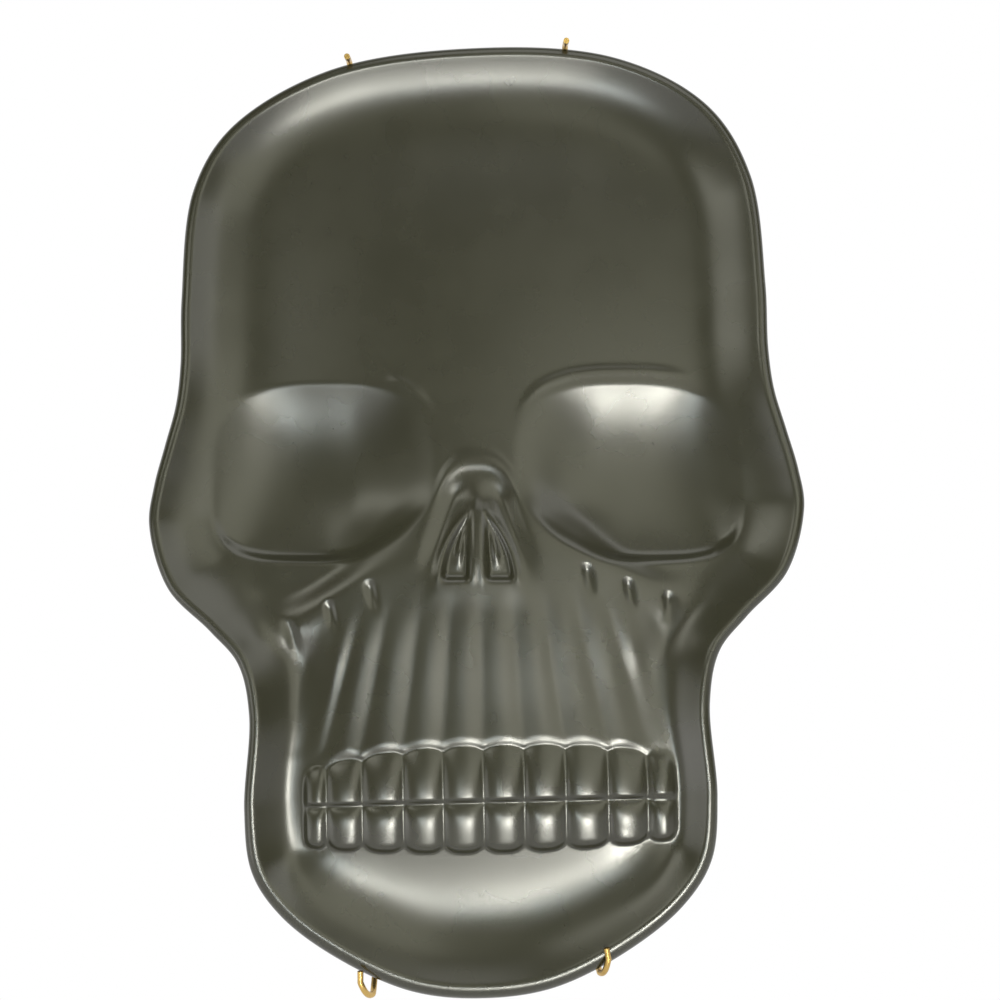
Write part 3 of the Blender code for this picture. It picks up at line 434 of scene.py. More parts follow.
def spline_through(points, steps):
    """A smooth curve through a half outline, level where it crosses the middle."""
    nodes = np.array(points)
    mirror = nodes * (-1.0, 1.0)
    nodes = np.vstack([mirror[1], nodes, mirror[-2]])
    knots = np.sqrt(np.linalg.norm(np.diff(nodes, axis=0), axis=1))
    knots = np.concatenate([[0.0], np.cumsum(knots)])
    dense = []
    for i in range(1, len(nodes) - 2):
        t0, t1, t2, t3 = knots[i - 1 : i + 3]
        p0, p1, p2, p3 = nodes[i - 1 : i + 3]
        t = np.linspace(t1, t2, SPLINE_STEPS, endpoint=False)[:, None]
        middle = mixed(t, t1, t2, p1, p2)
        before = mixed(t, t0, t2, mixed(t, t0, t1, p0, p1), middle)
        after = mixed(t, t1, t3, middle, mixed(t, t2, t3, p2, p3))
        dense.append(mixed(t, t1, t2, before, after))
    dense = np.vstack([*dense, nodes[-2]])
    travel = np.concatenate([[0.0], np.cumsum(np.linalg.norm(np.diff(dense, axis=0), axis=1))])
    even = np.linspace(0.0, travel[-1], steps + 1)
    return np.column_stack([np.interp(even, travel, dense[:, k]) for k in range(2)])


def eye_relief(s, x, level):
    """Sockets that drop under the brow, fall on in a bowl and close with a lid, softly by the nose."""
    across = np.abs(x)
    v = (level - EYE_LEVEL) / (EYE_HEIGHT / 2)
    u = (across - EYE_CENTRE_X) / (EYE_WIDTH / 2)
    u = np.where(u < 0, u / (1.0 - EYE_NASAL_TAPER * smooth(*EYE_TAPER_SPAN, v)), u)
    corner = EYE_CORNER * smooth(0.0, EYE_CORNER_RUN, u)
    corner = corner - EYE_NASAL_ROUND * smooth(0.0, -EYE_CORNER_RUN, u)
    power = EYE_SQUARE + corner * smooth(0.0, -EYE_CORNER_RUN, v)
    edge = np.clip(1.0 - np.abs(u) ** power, 0.0, 1.0) ** (1 / power)
    from_top = np.clip(edge - v, 0.0, 2.0) * EYE_HEIGHT / 2
    from_foot = np.clip(edge + v, 0.0, 2.0) * EYE_HEIGHT / 2
    bowl = s.eye_depth * (1.0 - (1.0 - from_top / EYE_FALL) ** 2)
    round_in = (np.clip(-u, 0.0, 1.0) ** power + np.clip(-v, 0.0, 1.0) ** power) ** (1 / power)
    closed = np.clip(round_in, 0.0, 1.0) ** EYE_CLOSE_POWER
    bowl = bowl * (1.0 - smooth(*EYE_CLOSE_SPAN, u) * closed)
    nasal = 1.0 - np.clip(1.0 - (1.0 + u) * EYE_WIDTH / 2 / EYE_NASAL_RUN, 0.0, 1.0) ** 2
    lateral = 1.0 - np.clip(u, 0.0, 1.0) ** EYE_SIDE_POWER
    foot_run = LID_RUN * (1.0 + LID_NASAL_SOFTNESS * smooth(*LID_NASAL_SPAN, u))
    socket = np.clip(bowl, 0.0, None) * nasal * lateral * smooth(0.0, foot_run, from_foot)
    ridge = bell((v - edge) * EYE_HEIGHT / 2 - BROW_GAP, BROW_WIDTH) * smooth(*BROW_RISE_SPAN, v)
    reach = np.where(x > 0, BROW_REACH[1], BROW_REACH[0])
    ridge = ridge * smooth(reach, BROW_TAIL * reach, across)
    ridge = ridge * smooth(EYE_CENTRE_X - EYE_WIDTH / 2, BROW_START, across)
    return BROW_RISE * ridge - socket


def softened(shape, x, level, radius):
    """A relief averaged over a small ring, as thick glaze rounds off its edges."""
    total = shape(x, level)
    for k in range(GLAZE_PROBES):
        angle = 2 * math.pi * k / GLAZE_PROBES
        total = total + shape(x + radius * math.cos(angle), level + radius * math.sin(angle))
    return total / (GLAZE_PROBES + 1)


def nostril_relief(across, level):
    """Two rimmed, tear-shaped hollows with a fold in each, beside a septum."""
    t = (level - NOSTRIL_FOOT_LEVEL) / (NOSTRIL_TOP_LEVEL - NOSTRIL_FOOT_LEVEL)
    open_out = np.clip(1.0 - t, 0.0, 1.0)
    rounded = 1.0 - (1.0 - open_out) ** NOSTRIL_ROUND
    outer = NOSTRIL_TIP_X + (NOSTRIL_OUTER_X - NOSTRIL_TIP_X) * rounded
    inner = NOSTRIL_TIP_X + (NOSTRIL_INNER_X - NOSTRIL_TIP_X) * open_out
    half = (outer - inner) / 2
    within = half - np.abs(across - inner - half)
    hole = smooth(0.0, NOSTRIL_WALL_RUN, within) * smooth(*NOSTRIL_FOOT_SPAN, t)
    fold = bell(across - inner - 2 * NOSTRIL_FOLD_SHARE * half, NOSTRIL_FOLD_WIDTH)
    fold = NOSTRIL_FOLD_FILL * fold * smooth(*NOSTRIL_FOLD_SPAN, t)
    rim = window(t, *NOSTRIL_RIM_SPAN) * bell(within + NOSTRIL_RIM_WIDTH, NOSTRIL_RIM_WIDTH)
    septum = bell(across, SEPTUM_WIDTH) * window(level, *SEPTUM_SPAN)
    return NOSTRIL_RIM_RISE * rim + SEPTUM_RISE * septum - NOSTRIL_DEPTH * hole * (1.0 - fold)


def nose_relief(across, level):
    """An arch of bone over a hollow, and a mound between two grooves."""
    above = level - NOSE_ARCH_LEVEL + NOSE_ARCH_FALL * (across / NOSE_ARCH_HALF) ** NOSE_ARCH_POWER
    far, full = (share * NOSE_ARCH_HALF for share in NOSE_ARCH_ENDS)
    near = smooth(far, full, across) * smooth(*NOSE_HOLLOW_LEVELS, level)
    arch = NOSE_ARCH_RISE * smooth(NOSE_ARCH_RUN, 0.0, above)
    arch = arch - NOSE_DEPTH * smooth(0.0, NOSE_LIP_RUN, -above)
    groove = NOSE_GROOVE_X + NOSE_GROOVE_SPREAD * (NOSE_GROOVE_LEVEL - level)
    aside = (across - groove) / math.hypot(1.0, NOSE_GROOVE_SPREAD)
    groove = bell(aside, NOSE_GROOVE_WIDTH) * window(level, *NOSE_GROOVE_SPAN)
    mound = smooth(0.0, NOSE_MOUND_RUN, -aside) * window(level, *NOSE_MOUND_SPAN)
    return arch * near - NOSE_GROOVE_DEPTH * groove + NOSE_MOUND_RISE * mound


def muzzle_edge(across):
    """Level of the upper jaw's top edge, which falls towards the cheeks."""
    return MUZZLE_TOP_LEVEL - MUZZLE_CORNER_DROP * smooth(*MUZZLE_CORNER_REACH, across)


def tooth_columns(x):
    """Place across a tooth, from -1 at its left edge to 1 at its right edge."""
    index = np.clip(np.searchsorted(TOOTH_EDGES, x) - 1, 0, len(TOOTH_EDGES) - 2)
    left = np.take(TOOTH_EDGES, index)
    return (x - left) / (np.take(TOOTH_EDGES, index + 1) - left) * 2 - 1


def muzzle_relief(x, level):
    """The raised upper jaw with its flutes and the cheek notches."""
    across = np.abs(x)
    half = MUZZLE_WIDTH / 2 + MUZZLE_FLARE * smooth(*MUZZLE_FLARE_LEVELS, level)
    below = muzzle_edge(across) + MUZZLE_TILT * x - level
    side = smooth(half + MUZZLE_SIDE_RUN, half - MUZZLE_SIDE_RUN, across)
    run = MUZZLE_EDGE_RUN + MUZZLE_NOSE_RUN * smooth(*MUZZLE_NOSE_REACH, across)
    block = smooth(-run, 0.0, below) * side * smooth(*MUZZLE_FADE_LEVELS, level)
    shape = MUZZLE_RISE * block * (1.0 - MUZZLE_SIDE_FALL * (across / half) ** 2)
    gum = BITE_LEVEL + UPPER_TOOTH_HEIGHT
    fan = TEETH_MIDDLE + (x - TEETH_MIDDLE) / (1.0 - FLUTE_LEAN * (level - gum))
    p = tooth_columns(fan)
    band = smooth(gum - FLUTE_FOOT_RUN, gum, level) * smooth(0.0, FLUTE_TOP_RUN, below)
    column = FLUTE_ROUND * (0.5 - p**2) + FLUTE_WAVE * np.cos(math.pi * p)
    shape = shape + FLUTE_RISE * column * band * side
    for place in NOTCH_PLACES:
        for mirror in (-1, 1):
            drop = muzzle_edge(np.array(place)) + MUZZLE_TILT * mirror * place - level
            span = smooth(*NOTCH_HEAD, drop / NOTCH_LENGTH) * smooth(*NOTCH_TAIL, drop / NOTCH_LENGTH)
            aside = x - mirror * place - NOTCH_LEAN * drop
            shape = shape - NOTCH_DEPTH * bell(aside, NOTCH_WIDTH) * span
    return shape


def pillow(part, crest, square):
    """A rounded form from 0 to 1 and back, steep at both ends, with its crest part of the way."""
    w = np.where(part < crest, (crest - part) / crest, (part - crest) / (1.0 - crest))
    return (1.0 - np.clip(w, 0.0, 1.0) ** square) ** PILLOW_ROUND


def tooth_relief(s, x, level):
    """Two rows of rounded teeth that meet at the bite, under a scalloped roll of gum."""
    p = np.clip(np.abs(tooth_columns(x)), 0.0, 1.0)
    middle = (TOOTH_EDGES[0] + TOOTH_EDGES[-1]) / 2
    row = (TOOTH_EDGES[-1] - TOOTH_EDGES[0]) / 2
    across = np.abs(x - middle)
    height = level - BITE_LEVEL - MOUTH_TILT * (x - middle)
    gum_fall = np.clip(np.abs(x - GUM_PEAK_X) / row, 0.0, ROW_LIMIT) ** GUM_FALL_POWER
    root_fall = np.clip(across / row, 0.0, ROW_LIMIT) ** ROOT_FALL_POWER
    gum = UPPER_TOOTH_HEIGHT - GUM_RECEDE * gum_fall - GUM_SCALLOP * p**GUM_SCALLOP_POWER
    root = LOWER_TOOTH_HEIGHT - ROOT_RECEDE * root_fall - ROOT_SCALLOP * p**ROOT_SCALLOP_POWER
    upper = pillow(np.clip(1.0 - height / gum, 0.0, 1.0), UPPER_CREST, UPPER_SQUARE)
    lower = pillow(np.clip(-height / root, 0.0, 1.0), LOWER_CREST, LOWER_SQUARE)
    flank = (1.0 - p**TOOTH_FLANK) ** PILLOW_ROUND
    inside = (height < gum) & (-height < root) & (across < row)
    tooth = np.where(inside, np.where(height >= 0, upper, lower) * flank, 0.0)
    above = height - gum
    roll = (1.0 - np.clip(above / GUM_ROLL, 0.0, 1.0)) ** GUM_CURVE
    bed = GUM_STEP * smooth(*GUM_EDGE, above) + GUM_ROUND * roll
    bed = bed * smooth(*MOUTH_FADE, height) * smooth(row, row - GUM_END_RUN, across)
    bulge = bell(height, MOUTH_BULGE_HEIGHT) * smooth(row + MOUTH_END_RUN, row - MOUTH_END_RUN, across)
    return s.tooth_rise * tooth - bed + MOUTH_BULGE * bulge


def relief(s, x, level):
    """Height of the carved face above the plate's floor, towards the viewer."""

    def broad(x, level):
        return eye_relief(s, x, level - FACE_TILT * x) + muzzle_relief(x, level)

    def fine(x, level):
        across, tilted = np.abs(x), level - FACE_TILT * x
        return nose_relief(across, tilted) + nostril_relief(across, tilted) + tooth_relief(s, x, level)

    return softened(broad, x, level, BROAD_GLAZE) + softened(fine, x, level, FINE_GLAZE)


class PlateShape:
    """The plate's outline and section, and the height of its face at any place."""

    def __init__(self, s):
        self.s = s
        half = spline_through(outline_corners(s), s.outline_steps)
        self.loop = np.vstack([half, (half * (-1.0, 1.0))[-2:0:-1]])
        tangent = np.roll(self.loop, -1, axis=0) - np.roll(self.loop, 1, axis=0)
        tangent /= np.linalg.norm(tangent, axis=1)[:, None]
        self.normal = np.column_stack([-tangent[:, 1], tangent[:, 0]])
        level = self.loop[:, 1]
        self.lip = s.lip_radius + (s.chin_lip_radius - s.lip_radius) * smooth(*LIP_GROW_LEVELS, level)
        jaw, chin = smooth(*JAW_WALL_LEVELS, level), smooth(*CHIN_WALL_LEVELS, level)
        self.run = s.wall_run + (s.jaw_run - s.wall_run) * jaw + (s.chin_run - s.jaw_run) * chin
        self.reach = s.wall_reach + (s.jaw_reach - s.wall_reach) * jaw
        self.reach = self.reach + (s.chin_reach - s.jaw_reach) * chin
        self.wall = np.full(len(self.loop), math.radians(WALL_FIRST_GUESS))
        for _ in range(WALL_PASSES):
            self.wall = np.arctan((s.dish_depth - self.lip * (1 - np.cos(self.wall))) / self.run)
        self.lip_end = self.lip * (1 + np.sin(self.wall))
        self.floor_y = PLATE_LOW.y + s.dish_depth

    def inset(self, distance):
        """The outline moved inwards along its normals."""
        return self.loop - self.normal * np.reshape(distance, (-1, 1))

    def dish(self, distance, index):
        """Height of the soft inner wall above the floor, at a distance in from the rim."""
        past = np.clip(distance - self.lip_end[index], 0.0, None)
        rise = np.tan(self.wall[index]) * self.run[index]
        return rise * np.exp(-past / self.run[index] - (past / self.reach[index]) ** 2)

    def place(self, points, height):
        """Points of the outline plane put at a height above the floor, in the row's frame."""
        y = np.zeros(len(points)) + self.floor_y - height
        return np.column_stack([points[:, 0], y, skewed(points[:, 0], points[:, 1]) + PLATE_LOW.z])

    def face(self, points, distance, index):
        """Points of the face: the soft wall, and relief eased in with the distance from the rim."""
        carved = relief(self.s, points[:, 0], points[:, 1]) * smooth(*CARVING_RUN, distance)
        return self.place(points, self.dish(distance, index) + carved)

    def back_rings(self):
        """Rings from the middle of the back over the foot ring and the outer wall to the lip."""
        s = self.s
        outer = math.radians(OUTER_WALL_ANGLE)
        top, low = (share * s.height for share in SPINE_SHARES)
        count = len(self.loop)
        order = np.minimum(np.arange(count), count - np.arange(count)) / (count / 2)
        by_level, by_order = SPINE_WEIGHTS
        share = by_level * (s.height - self.loop[:, 1]) / s.height + by_order * order
        spine = np.column_stack([np.zeros(count), top - (top - low) * share])
        back_angle = outer - math.pi
        wall_top = self.lip * (1 + math.sin(back_angle))
        wall_rise = s.dish_depth - self.lip * (1 - math.cos(back_angle))
        fall = wall_rise + s.floor_thickness - HEEL_RADIUS * (1 - math.cos(outer))
        heel = wall_top + fall / math.tan(outer) + HEEL_RADIUS * math.sin(outer)
        heel_ring = self.inset(heel)
        inward = spine - heel_ring
        reach = np.linalg.norm(inward, axis=1)[:, None]
        inward /= reach
        base = -s.floor_thickness
        foot_out = FOOT_INSET + FOOT_SIDE_RUN
        foot_in = foot_out + FOOT_WIDTH
        start = foot_in + FOOT_SIDE_RUN
        inner = [(start + (reach - start) * part, base) for part in np.linspace(1.0, 0.0, BACK_RINGS)[1:-1]]
        foot = [(start, 0.0), (foot_in, 1.0), (foot_out, 1.0), (FOOT_INSET, 0.0)]
        for (d0, h0), (d1, h1) in zip(foot, foot[1:]):
            for part in np.linspace(0.0, 1.0, FOOT_STEPS, endpoint=False):
                drop = h0 + (h1 - h0) * float(smooth(0.0, 1.0, part))
                inner.append((d0 + (d1 - d0) * part, base - drop * s.foot_height))
        side = []
        for angle in np.linspace(0.0, outer, ARC_STEPS):
            side.append((heel - HEEL_RADIUS * math.sin(angle), base + HEEL_RADIUS * (1 - math.cos(angle))))
        back, rise = side[-1]
        for part in np.linspace(0.0, 1.0, FOOT_STEPS)[1:-1]:
            side.append((back + (wall_top - back) * part, rise + (wall_rise - rise) * part))
        rings = [self.place(spine, base)]
        rings += [self.place(heel_ring + inward * distance, height) for distance, height in inner]
        return rings + [self.place(self.inset(distance), height) for distance, height in side]

    def rim_rings(self):
        """Rings over the lip and down the soft inner wall."""
        rings = []
        back_angle = math.radians(OUTER_WALL_ANGLE) - math.pi
        for part in np.linspace(0.0, 1.0, 3 * ARC_STEPS):
            angle = back_angle + (self.wall - back_angle) * part
            ring = self.inset(self.lip * (1 + np.sin(angle)))
            rings.append(self.place(ring, self.s.dish_depth - self.lip * (1 - np.cos(angle))))
        index = np.arange(len(self.loop))
        for part in np.linspace(0.0, 1.0, WALL_RINGS)[1:]:
            distance = self.lip_end + (FACE_EDGE - self.lip_end) * part
            rings.append(self.face(self.inset(distance), distance, index))
        return rings


def spaced(stops):
    """Grid lines between stops, each stop with the spacing that follows it."""
    lines = []
    for (start, step), (end, _) in zip(stops, stops[1:]):
        count = max(1, round((end - start) / step))
        lines.extend(np.linspace(start, end, count, endpoint=False))
    lines.append(stops[-1][0])
    return np.array(lines)


def inside_loop(points, loop):
    """Which points lie inside a closed outline, by counting its crossings."""
    inside = np.zeros(len(points), bool)
    for (x0, z0), (x1, z1) in zip(loop, np.roll(loop, -1, axis=0)):
        if z0 == z1:
            continue
        crosses = (points[:, 1] < z0) != (points[:, 1] < z1)
        inside ^= crosses & (points[:, 0] < x0 + (points[:, 1] - z0) / (z1 - z0) * (x1 - x0))
    return inside


def rim_distance(points, loop):
    """Distance of points from an outline, and the nearest place on it."""
    best = np.full(len(points), np.inf)
    index = np.zeros(len(points), int)
    for k, corner in enumerate(loop):
        away = (points[:, 0] - corner[0]) ** 2 + (points[:, 1] - corner[1]) ** 2
        nearer = away < best
        best[nearer] = away[nearer]
        index[nearer] = k
    return np.sqrt(best), index


def face_grid(shape):
    """The carved face as an upright grid, finest at the mouth and nose: points and faces."""
    grid = np.stack(np.meshgrid(spaced(GRID_ACROSS), spaced(GRID_LEVELS)), axis=-1)
    flat = grid.reshape(-1, 2)
    distance, index = rim_distance(flat, shape.loop)
    kept = inside_loop(flat, shape.loop) & (distance > FACE_EDGE + FACE_MARGIN)
    number = np.arange(len(flat)).reshape(grid.shape[:2])
    quads = np.stack([number[:-1, :-1], number[:-1, 1:], number[1:, 1:], number[1:, :-1]], axis=-1)
    quads = quads.reshape(-1, 4)
    quads = quads[kept[quads].all(axis=1)]
    used = np.unique(quads)
    renumber = np.full(len(flat), -1)
    renumber[used] = np.arange(len(used))
    return flat[used], shape.face(flat[used], distance[used], index[used]), renumber[quads]


def border_edges(quads):
    """Edges that only one face uses."""
    edges = np.vstack([quads[:, [k, (k + 1) % 4]] for k in range(4)])
    edges.sort(axis=1)
    edges, uses = np.unique(edges, axis=0, return_counts=True)
    return edges[uses == 1]


def fill_between(flat, edges):
    """Triangles that fill the flat band between two closed borders."""
    bm = bmesh.new()
    verts = {k: bm.verts.new((flat[k][0], flat[k][1], 0.0)) for k in np.unique(edges)}
    names = {vert: k for k, vert in verts.items()}
    lines = [bm.edges.new((verts[a], verts[b])) for a, b in edges]
    made = bmesh.ops.triangle_fill(bm, use_beauty=True, edges=lines, normal=(0.0, 0.0, 1.0))
    faces = [item for item in made["geom"] if isinstance(item, bmesh.types.BMFace)]
    triangles = [[names[vert] for vert in face.verts] for face in faces]
    bm.free()
    return triangles


def plate_mesh(name, shape):
    """The whole plate as one closed mesh: rings for back, rim and wall, and a grid for the face."""
    rings = shape.back_rings() + shape.rim_rings()
    count = len(rings[0])
    middle = count // 2
    around = np.arange(count)
    folded = np.minimum(around, count - around)
    flat, grid, quads = face_grid(shape)
    points = np.vstack([rings[0][: middle + 1], *rings[1:], grid])
    rows = [folded] + [middle + 1 + row * count + around for row in range(len(rings) - 1)]
    faces = []
    for here, there in zip(rows, rows[1:]):
        faces.extend(np.column_stack([here, there, np.roll(there, -1), np.roll(here, -1)]).tolist())
    first = len(points) - len(grid)
    edge_ring = rows[-1]
    ring_edges = np.column_stack([edge_ring, np.roll(edge_ring, -1)])
    border = np.vstack([border_edges(quads) + first, ring_edges])
    faces.extend((quads + first).tolist())
    faces.extend(fill_between(points[:, [0, 2]], border))
    mesh = bpy.data.meshes.new(name)
    mesh.from_pydata(points.tolist(), [], faces)
    bm = bmesh.new()
    bm.from_mesh(mesh)
    bmesh.ops.recalc_face_normals(bm, faces=bm.faces)
    bm.to_mesh(mesh)
    bm.free()
    mesh.shade_smooth()
    return mesh


def rim_place(half, x, at_crown):
    """Height of the rim's outer edge above the chin at a place across, and its slope there."""
    widest = int(np.argmax(half[:, 0]))
    run = half[:widest] if at_crown else half[:widest:-1]
    across = x + np.array([-RIM_PROBE, 0.0, RIM_PROBE])
    before, level, after = skewed(across, np.interp(np.abs(across), run[:, 0], run[:, 1]))
    return level, (after - before) / (2 * RIM_PROBE)


def bend_wire(corners, radius):
    """A wire's path through its corners, each rounded to a bend radius."""
    path = [corners[0]]
    for before, corner, after in zip(corners, corners[1:], corners[2:]):
        back = (before - corner).normalized()
        ahead = (after - corner).normalized()
        half = back.angle(ahead) / 2
        room = BEND_SHARE * min((before - corner).length, (after - corner).length)
        reach = min(radius / math.tan(half), room)
        fitted = reach * math.tan(half)
        centre = corner + (back + ahead).normalized() * (fitted / math.sin(half))
        start = corner + back * reach - centre
        axis, angle = start.rotation_difference(corner + ahead * reach - centre).to_axis_angle()
        steps = max(2, round(math.degrees(angle) / BEND_STEP))
        for k in range(steps + 1):
            path.append(centre + Matrix.Rotation(angle * k / steps, 3, axis) @ start)
    path.append(corners[-1])
    return path


class HangerShape:
    """Paths of the hanger's wires and springs, fitted to the plate's rim."""

    def __init__(self, plate, hanger):
        self.plate = plate
        self.wire_radius = hanger.wire / 2
        self.hanger = hanger
        self.half = spline_through(outline_corners(plate), RIM_STEPS)
        self.upper = self.upper_path()
        self.lower = self.lower_path()

    def hook_profile(self, at_crown):
        """Hook section from tip to arm: distance in from the rim's edge, depth and share of splay."""
        lip = self.plate.lip_radius if at_crown else self.plate.chin_lip_radius
        lip_y = PLATE_LOW.y + lip
        grip = lip + HOOK_GAP + self.wire_radius
        lean = math.radians(OUTER_WALL_ANGLE) - math.pi
        end = math.radians(UPPER_TIP_DROOP) - math.pi / 2 if at_crown else 0.0
        tip = UPPER_TIP_LENGTH if at_crown else LOWER_TIP_LENGTH
        points = []
        for angle in np.linspace(end, lean, 3 * ARC_STEPS):
            turned = max(0.0, 1.0 + 2 * angle / math.pi)
            points.append((lip + grip * math.sin(angle), lip_y - grip * math.cos(angle), turned))
        inset, depth, turned = points[0]
        points.insert(0, (inset + tip * math.cos(end), depth + tip * math.sin(end), turned))
        inset, depth, turned = points[-1]
        points.append((inset - depth / math.tan(lean + math.pi), 0.0, turned))
        return points

    def hook_path(self, apex, direction, stretch, at_crown):
        """A hook's path from its tip to the bend where its arm leaves the wall of the plate."""
        path = []
        splay = 0.0 if at_crown else LOWER_HOOK_SPLAY
        for inset, depth, turned in self.hook_profile(at_crown):
            along = (inset + HOOK_GAP + self.wire_radius) * stretch
            x = apex[0] - direction[0] * along + splay * turned
            path.append(Vector((x, depth, apex[1] - direction[1] * along)))
        return path

    def bent_wire(self, apex_level, eye_level, middle_level, stretch):
        """A wire in its own frame: hook, arm, spring eye, middle bend, and the same mirrored."""
        apex = Vector((HOOK_SPACING / 2, apex_level))
        eye = Vector((EYE_SPACING / 2, eye_level))
        hook = self.hook_path(apex, (apex - eye).normalized(), stretch, apex_level > eye_level)
        middle = Vector((0.0, 0.0, middle_level))
        right = bend_wire([hook[-2], hook[-1], Vector((eye.x, 0.0, eye.y)), middle], WIRE_BEND_RADIUS)
        right = hook[:-2] + right[:-1]
        left = [Vector((-p.x, p.y, p.z)) for p in reversed(right)]
        bend = bend_wire([right[-1], middle, left[0]], LOOP_RADIUS)
        return right[:-1] + bend + left[1:]

    def leaned(self, path, degrees, pivot):
        """A wire's path turned in the plane of the plate's back, about a pivot height."""
        turn = Matrix.Rotation(math.radians(-degrees), 3, "Y")
        centre = Vector((0.0, 0.0, pivot))
        return [centre + turn @ (p - centre) for p in path]

    def hook_fit(self, place, at_crown, arm_angle):
        """Rim height at a hook, and how much longer the lip's section is along the hook's arm."""
        level, slope = rim_place(self.half, place, at_crown)
        normal_angle = -math.atan(slope) if at_crown else math.atan(slope)
        return level + PLATE_LOW.z, 1 / math.cos(normal_angle - arm_angle)

    def clear_rim(self, reach, lean, arm, at_crown):
        """Height at which both hooks of a leaning wire clear the rim, and the stretch of the nearer one."""
        sign = 1 if at_crown else -1
        fits = []
        for side in (-1, 1):
            x = side * HOOK_SPACING / 2
            place = x * math.cos(lean) - sign * reach * math.sin(lean)
            rim, stretch = self.hook_fit(place, at_crown, side * arm - sign * lean)
            apex = rim + sign * (HOOK_GAP + self.wire_radius) * stretch
            fits.append((apex - x * math.sin(lean), stretch))
        return max(fits) if at_crown else min(fits)

    def upper_path(self):
        """W-shaped wire: two hooks over the crown, two spring eyes and the hanging loop between."""
        lean = math.radians(UPPER_LEAN)
        arm = math.atan2(HOOK_SPACING - EYE_SPACING, 2 * (PLATE_HIGH.z + UPPER_EYE_DROP))
        apex, stretch = self.clear_rim(PLATE_HIGH.z, lean, arm, True)
        corner = self.wire_radius
        for _ in range(LOOP_PASSES):
            opening = math.atan2(EYE_SPACING / 2, UPPER_EYE_DROP + corner)
            corner = self.wire_radius + LOOP_RADIUS * (1 / math.sin(opening) - 1)
        path = self.bent_wire(apex / math.cos(lean), -UPPER_EYE_DROP, corner, stretch)
        return self.leaned(path, UPPER_LEAN, 0.0)

    def lower_path(self):
        """M-shaped wire: two hooks under the jaw, two spring eyes and a valley between."""
        lean = math.radians(LOWER_LEAN)
        arm = math.atan2(HOOK_SPACING - EYE_SPACING, 2 * LOWER_ARM_LENGTH)
        apex, stretch = self.clear_rim(LOWER_PIVOT_RISE, lean, arm, False)
        apex -= LOWER_PIVOT_RISE * (1 - math.cos(lean))
        eye = apex + LOWER_ARM_LENGTH
        path = self.bent_wire(apex, eye, eye - LOWER_VALLEY_DROP, stretch)
        return self.leaned(path, LOWER_LEAN, apex + LOWER_PIVOT_RISE)

    def eye_point(self, path, side, lowest):
        """Place on a wire where a spring hooks on: the end of its eye on one side."""
        own = [p for p in path if p.x * side > EYE_ZONE * EYE_SPACING and abs(p.y) < self.wire_radius]
        return min(own, key=lambda p: p.z if lowest else -p.z)

    def spring_path(self, side):
        """One unbroken spring wire: a hook, the curls and a second hook turned the other way."""
        top = self.eye_point(self.upper, side, True)
        bottom = self.eye_point(self.lower, side, False)
        axis = (bottom - top).normalized()
        reach = (bottom - top).length
        front = Vector((0.0, 1.0, 0.0))
        sideways = front.cross(axis).normalized()
        thick = self.hanger.spring_wire
        radius = (self.hanger.spring_diameter - thick) / 2
        grip = self.wire_radius + WIRE_CLEARANCE + thick / 2

        def place(u, v, w):
            return top + sideways * u + front * v + axis * w

        hook = [(0.0, -grip, thick), (0.0, -grip, 0.0)]
        for angle in np.linspace(math.pi, 0.0, ARC_STEPS)[1:]:
            hook.append((0.0, grip * math.cos(angle), -grip * math.sin(angle)))
        path = [place(*p) for p in hook]
        total = self.hanger.spring_turns * CURL_POINTS
        curls = reach - 2 * SPRING_LEAD
        for k in range(total + 1):
            angle = 2 * math.pi * k / CURL_POINTS
            at = SPRING_LEAD + curls * k / total
            path.append(place(radius * math.sin(angle), radius * math.cos(angle), at))
        path.extend(place(u, v, reach - w) for u, v, w in reversed(hook))
        return path, top, bottom


def tube_mesh(name, path, diameter, sides):
    """A round wire along a path as a mesh with rounded ends."""
    curve = bpy.data.curves.new(name, "CURVE")
    curve.dimensions = "3D"
    curve.bevel_depth = diameter / 2
    curve.bevel_resolution = sides
    curve.use_fill_caps = True
    spline = curve.splines.new("POLY")
    spline.points.add(len(path) - 1)
    for point, place in zip(spline.points, path):
        point.co = (*place, 1.0)
    holder = bpy.data.objects.new(name, curve)
    mesh = bpy.data.meshes.new_from_object(holder)
    bpy.data.objects.remove(holder)
    bpy.data.curves.remove(curve)
    mesh.name = name
    mesh.shade_smooth()
    return mesh


def add_piece(name, mesh, material):
    """Link a new piece with its material to the scene."""
    piece = bpy.data.objects.new(name, mesh)
    mesh.materials.clear()
    mesh.materials.append(material)
    bpy.context.scene.collection.objects.link(piece)
    return piece


class Nodes:
    """Short calls for building a node tree."""

    def __init__(self, tree):
        self.tree = tree

    def add(self, kind, **values):
        """A node with some of its properties set."""
        node = self.tree.nodes.new(kind)
        for key, value in values.items():
            setattr(node, key, value)
        return node

    def link(self, source, target):
        """Join an output to an input."""
        self.tree.links.new(source, target)

    def feed(self, target, value):
        """Set an input to a value, or join it to an output."""
        if isinstance(value, bpy.types.NodeSocket):
            self.link(value, target)
        else:
            target.default_value = value

    def ramp(self, value, low, high, start=0.0, end=1.0):
        """Ease a value from one range to another."""
        node = self.add("ShaderNodeMapRange", interpolation_type="SMOOTHSTEP")
        self.feed(node.inputs["Value"], value)
        for key, number in (("From Min", low), ("From Max", high), ("To Min", start), ("To Max", end)):
            node.inputs[key].default_value = number
        return node.outputs["Result"]

    def mix(self, share, a, b):
        """Mix two colours."""
        node = self.add("ShaderNodeMix", data_type="RGBA")
        self.feed(node.inputs["Factor"], share)
        self.feed(node.inputs["A"], a)
        self.feed(node.inputs["B"], b)
        return node.outputs["Result"]


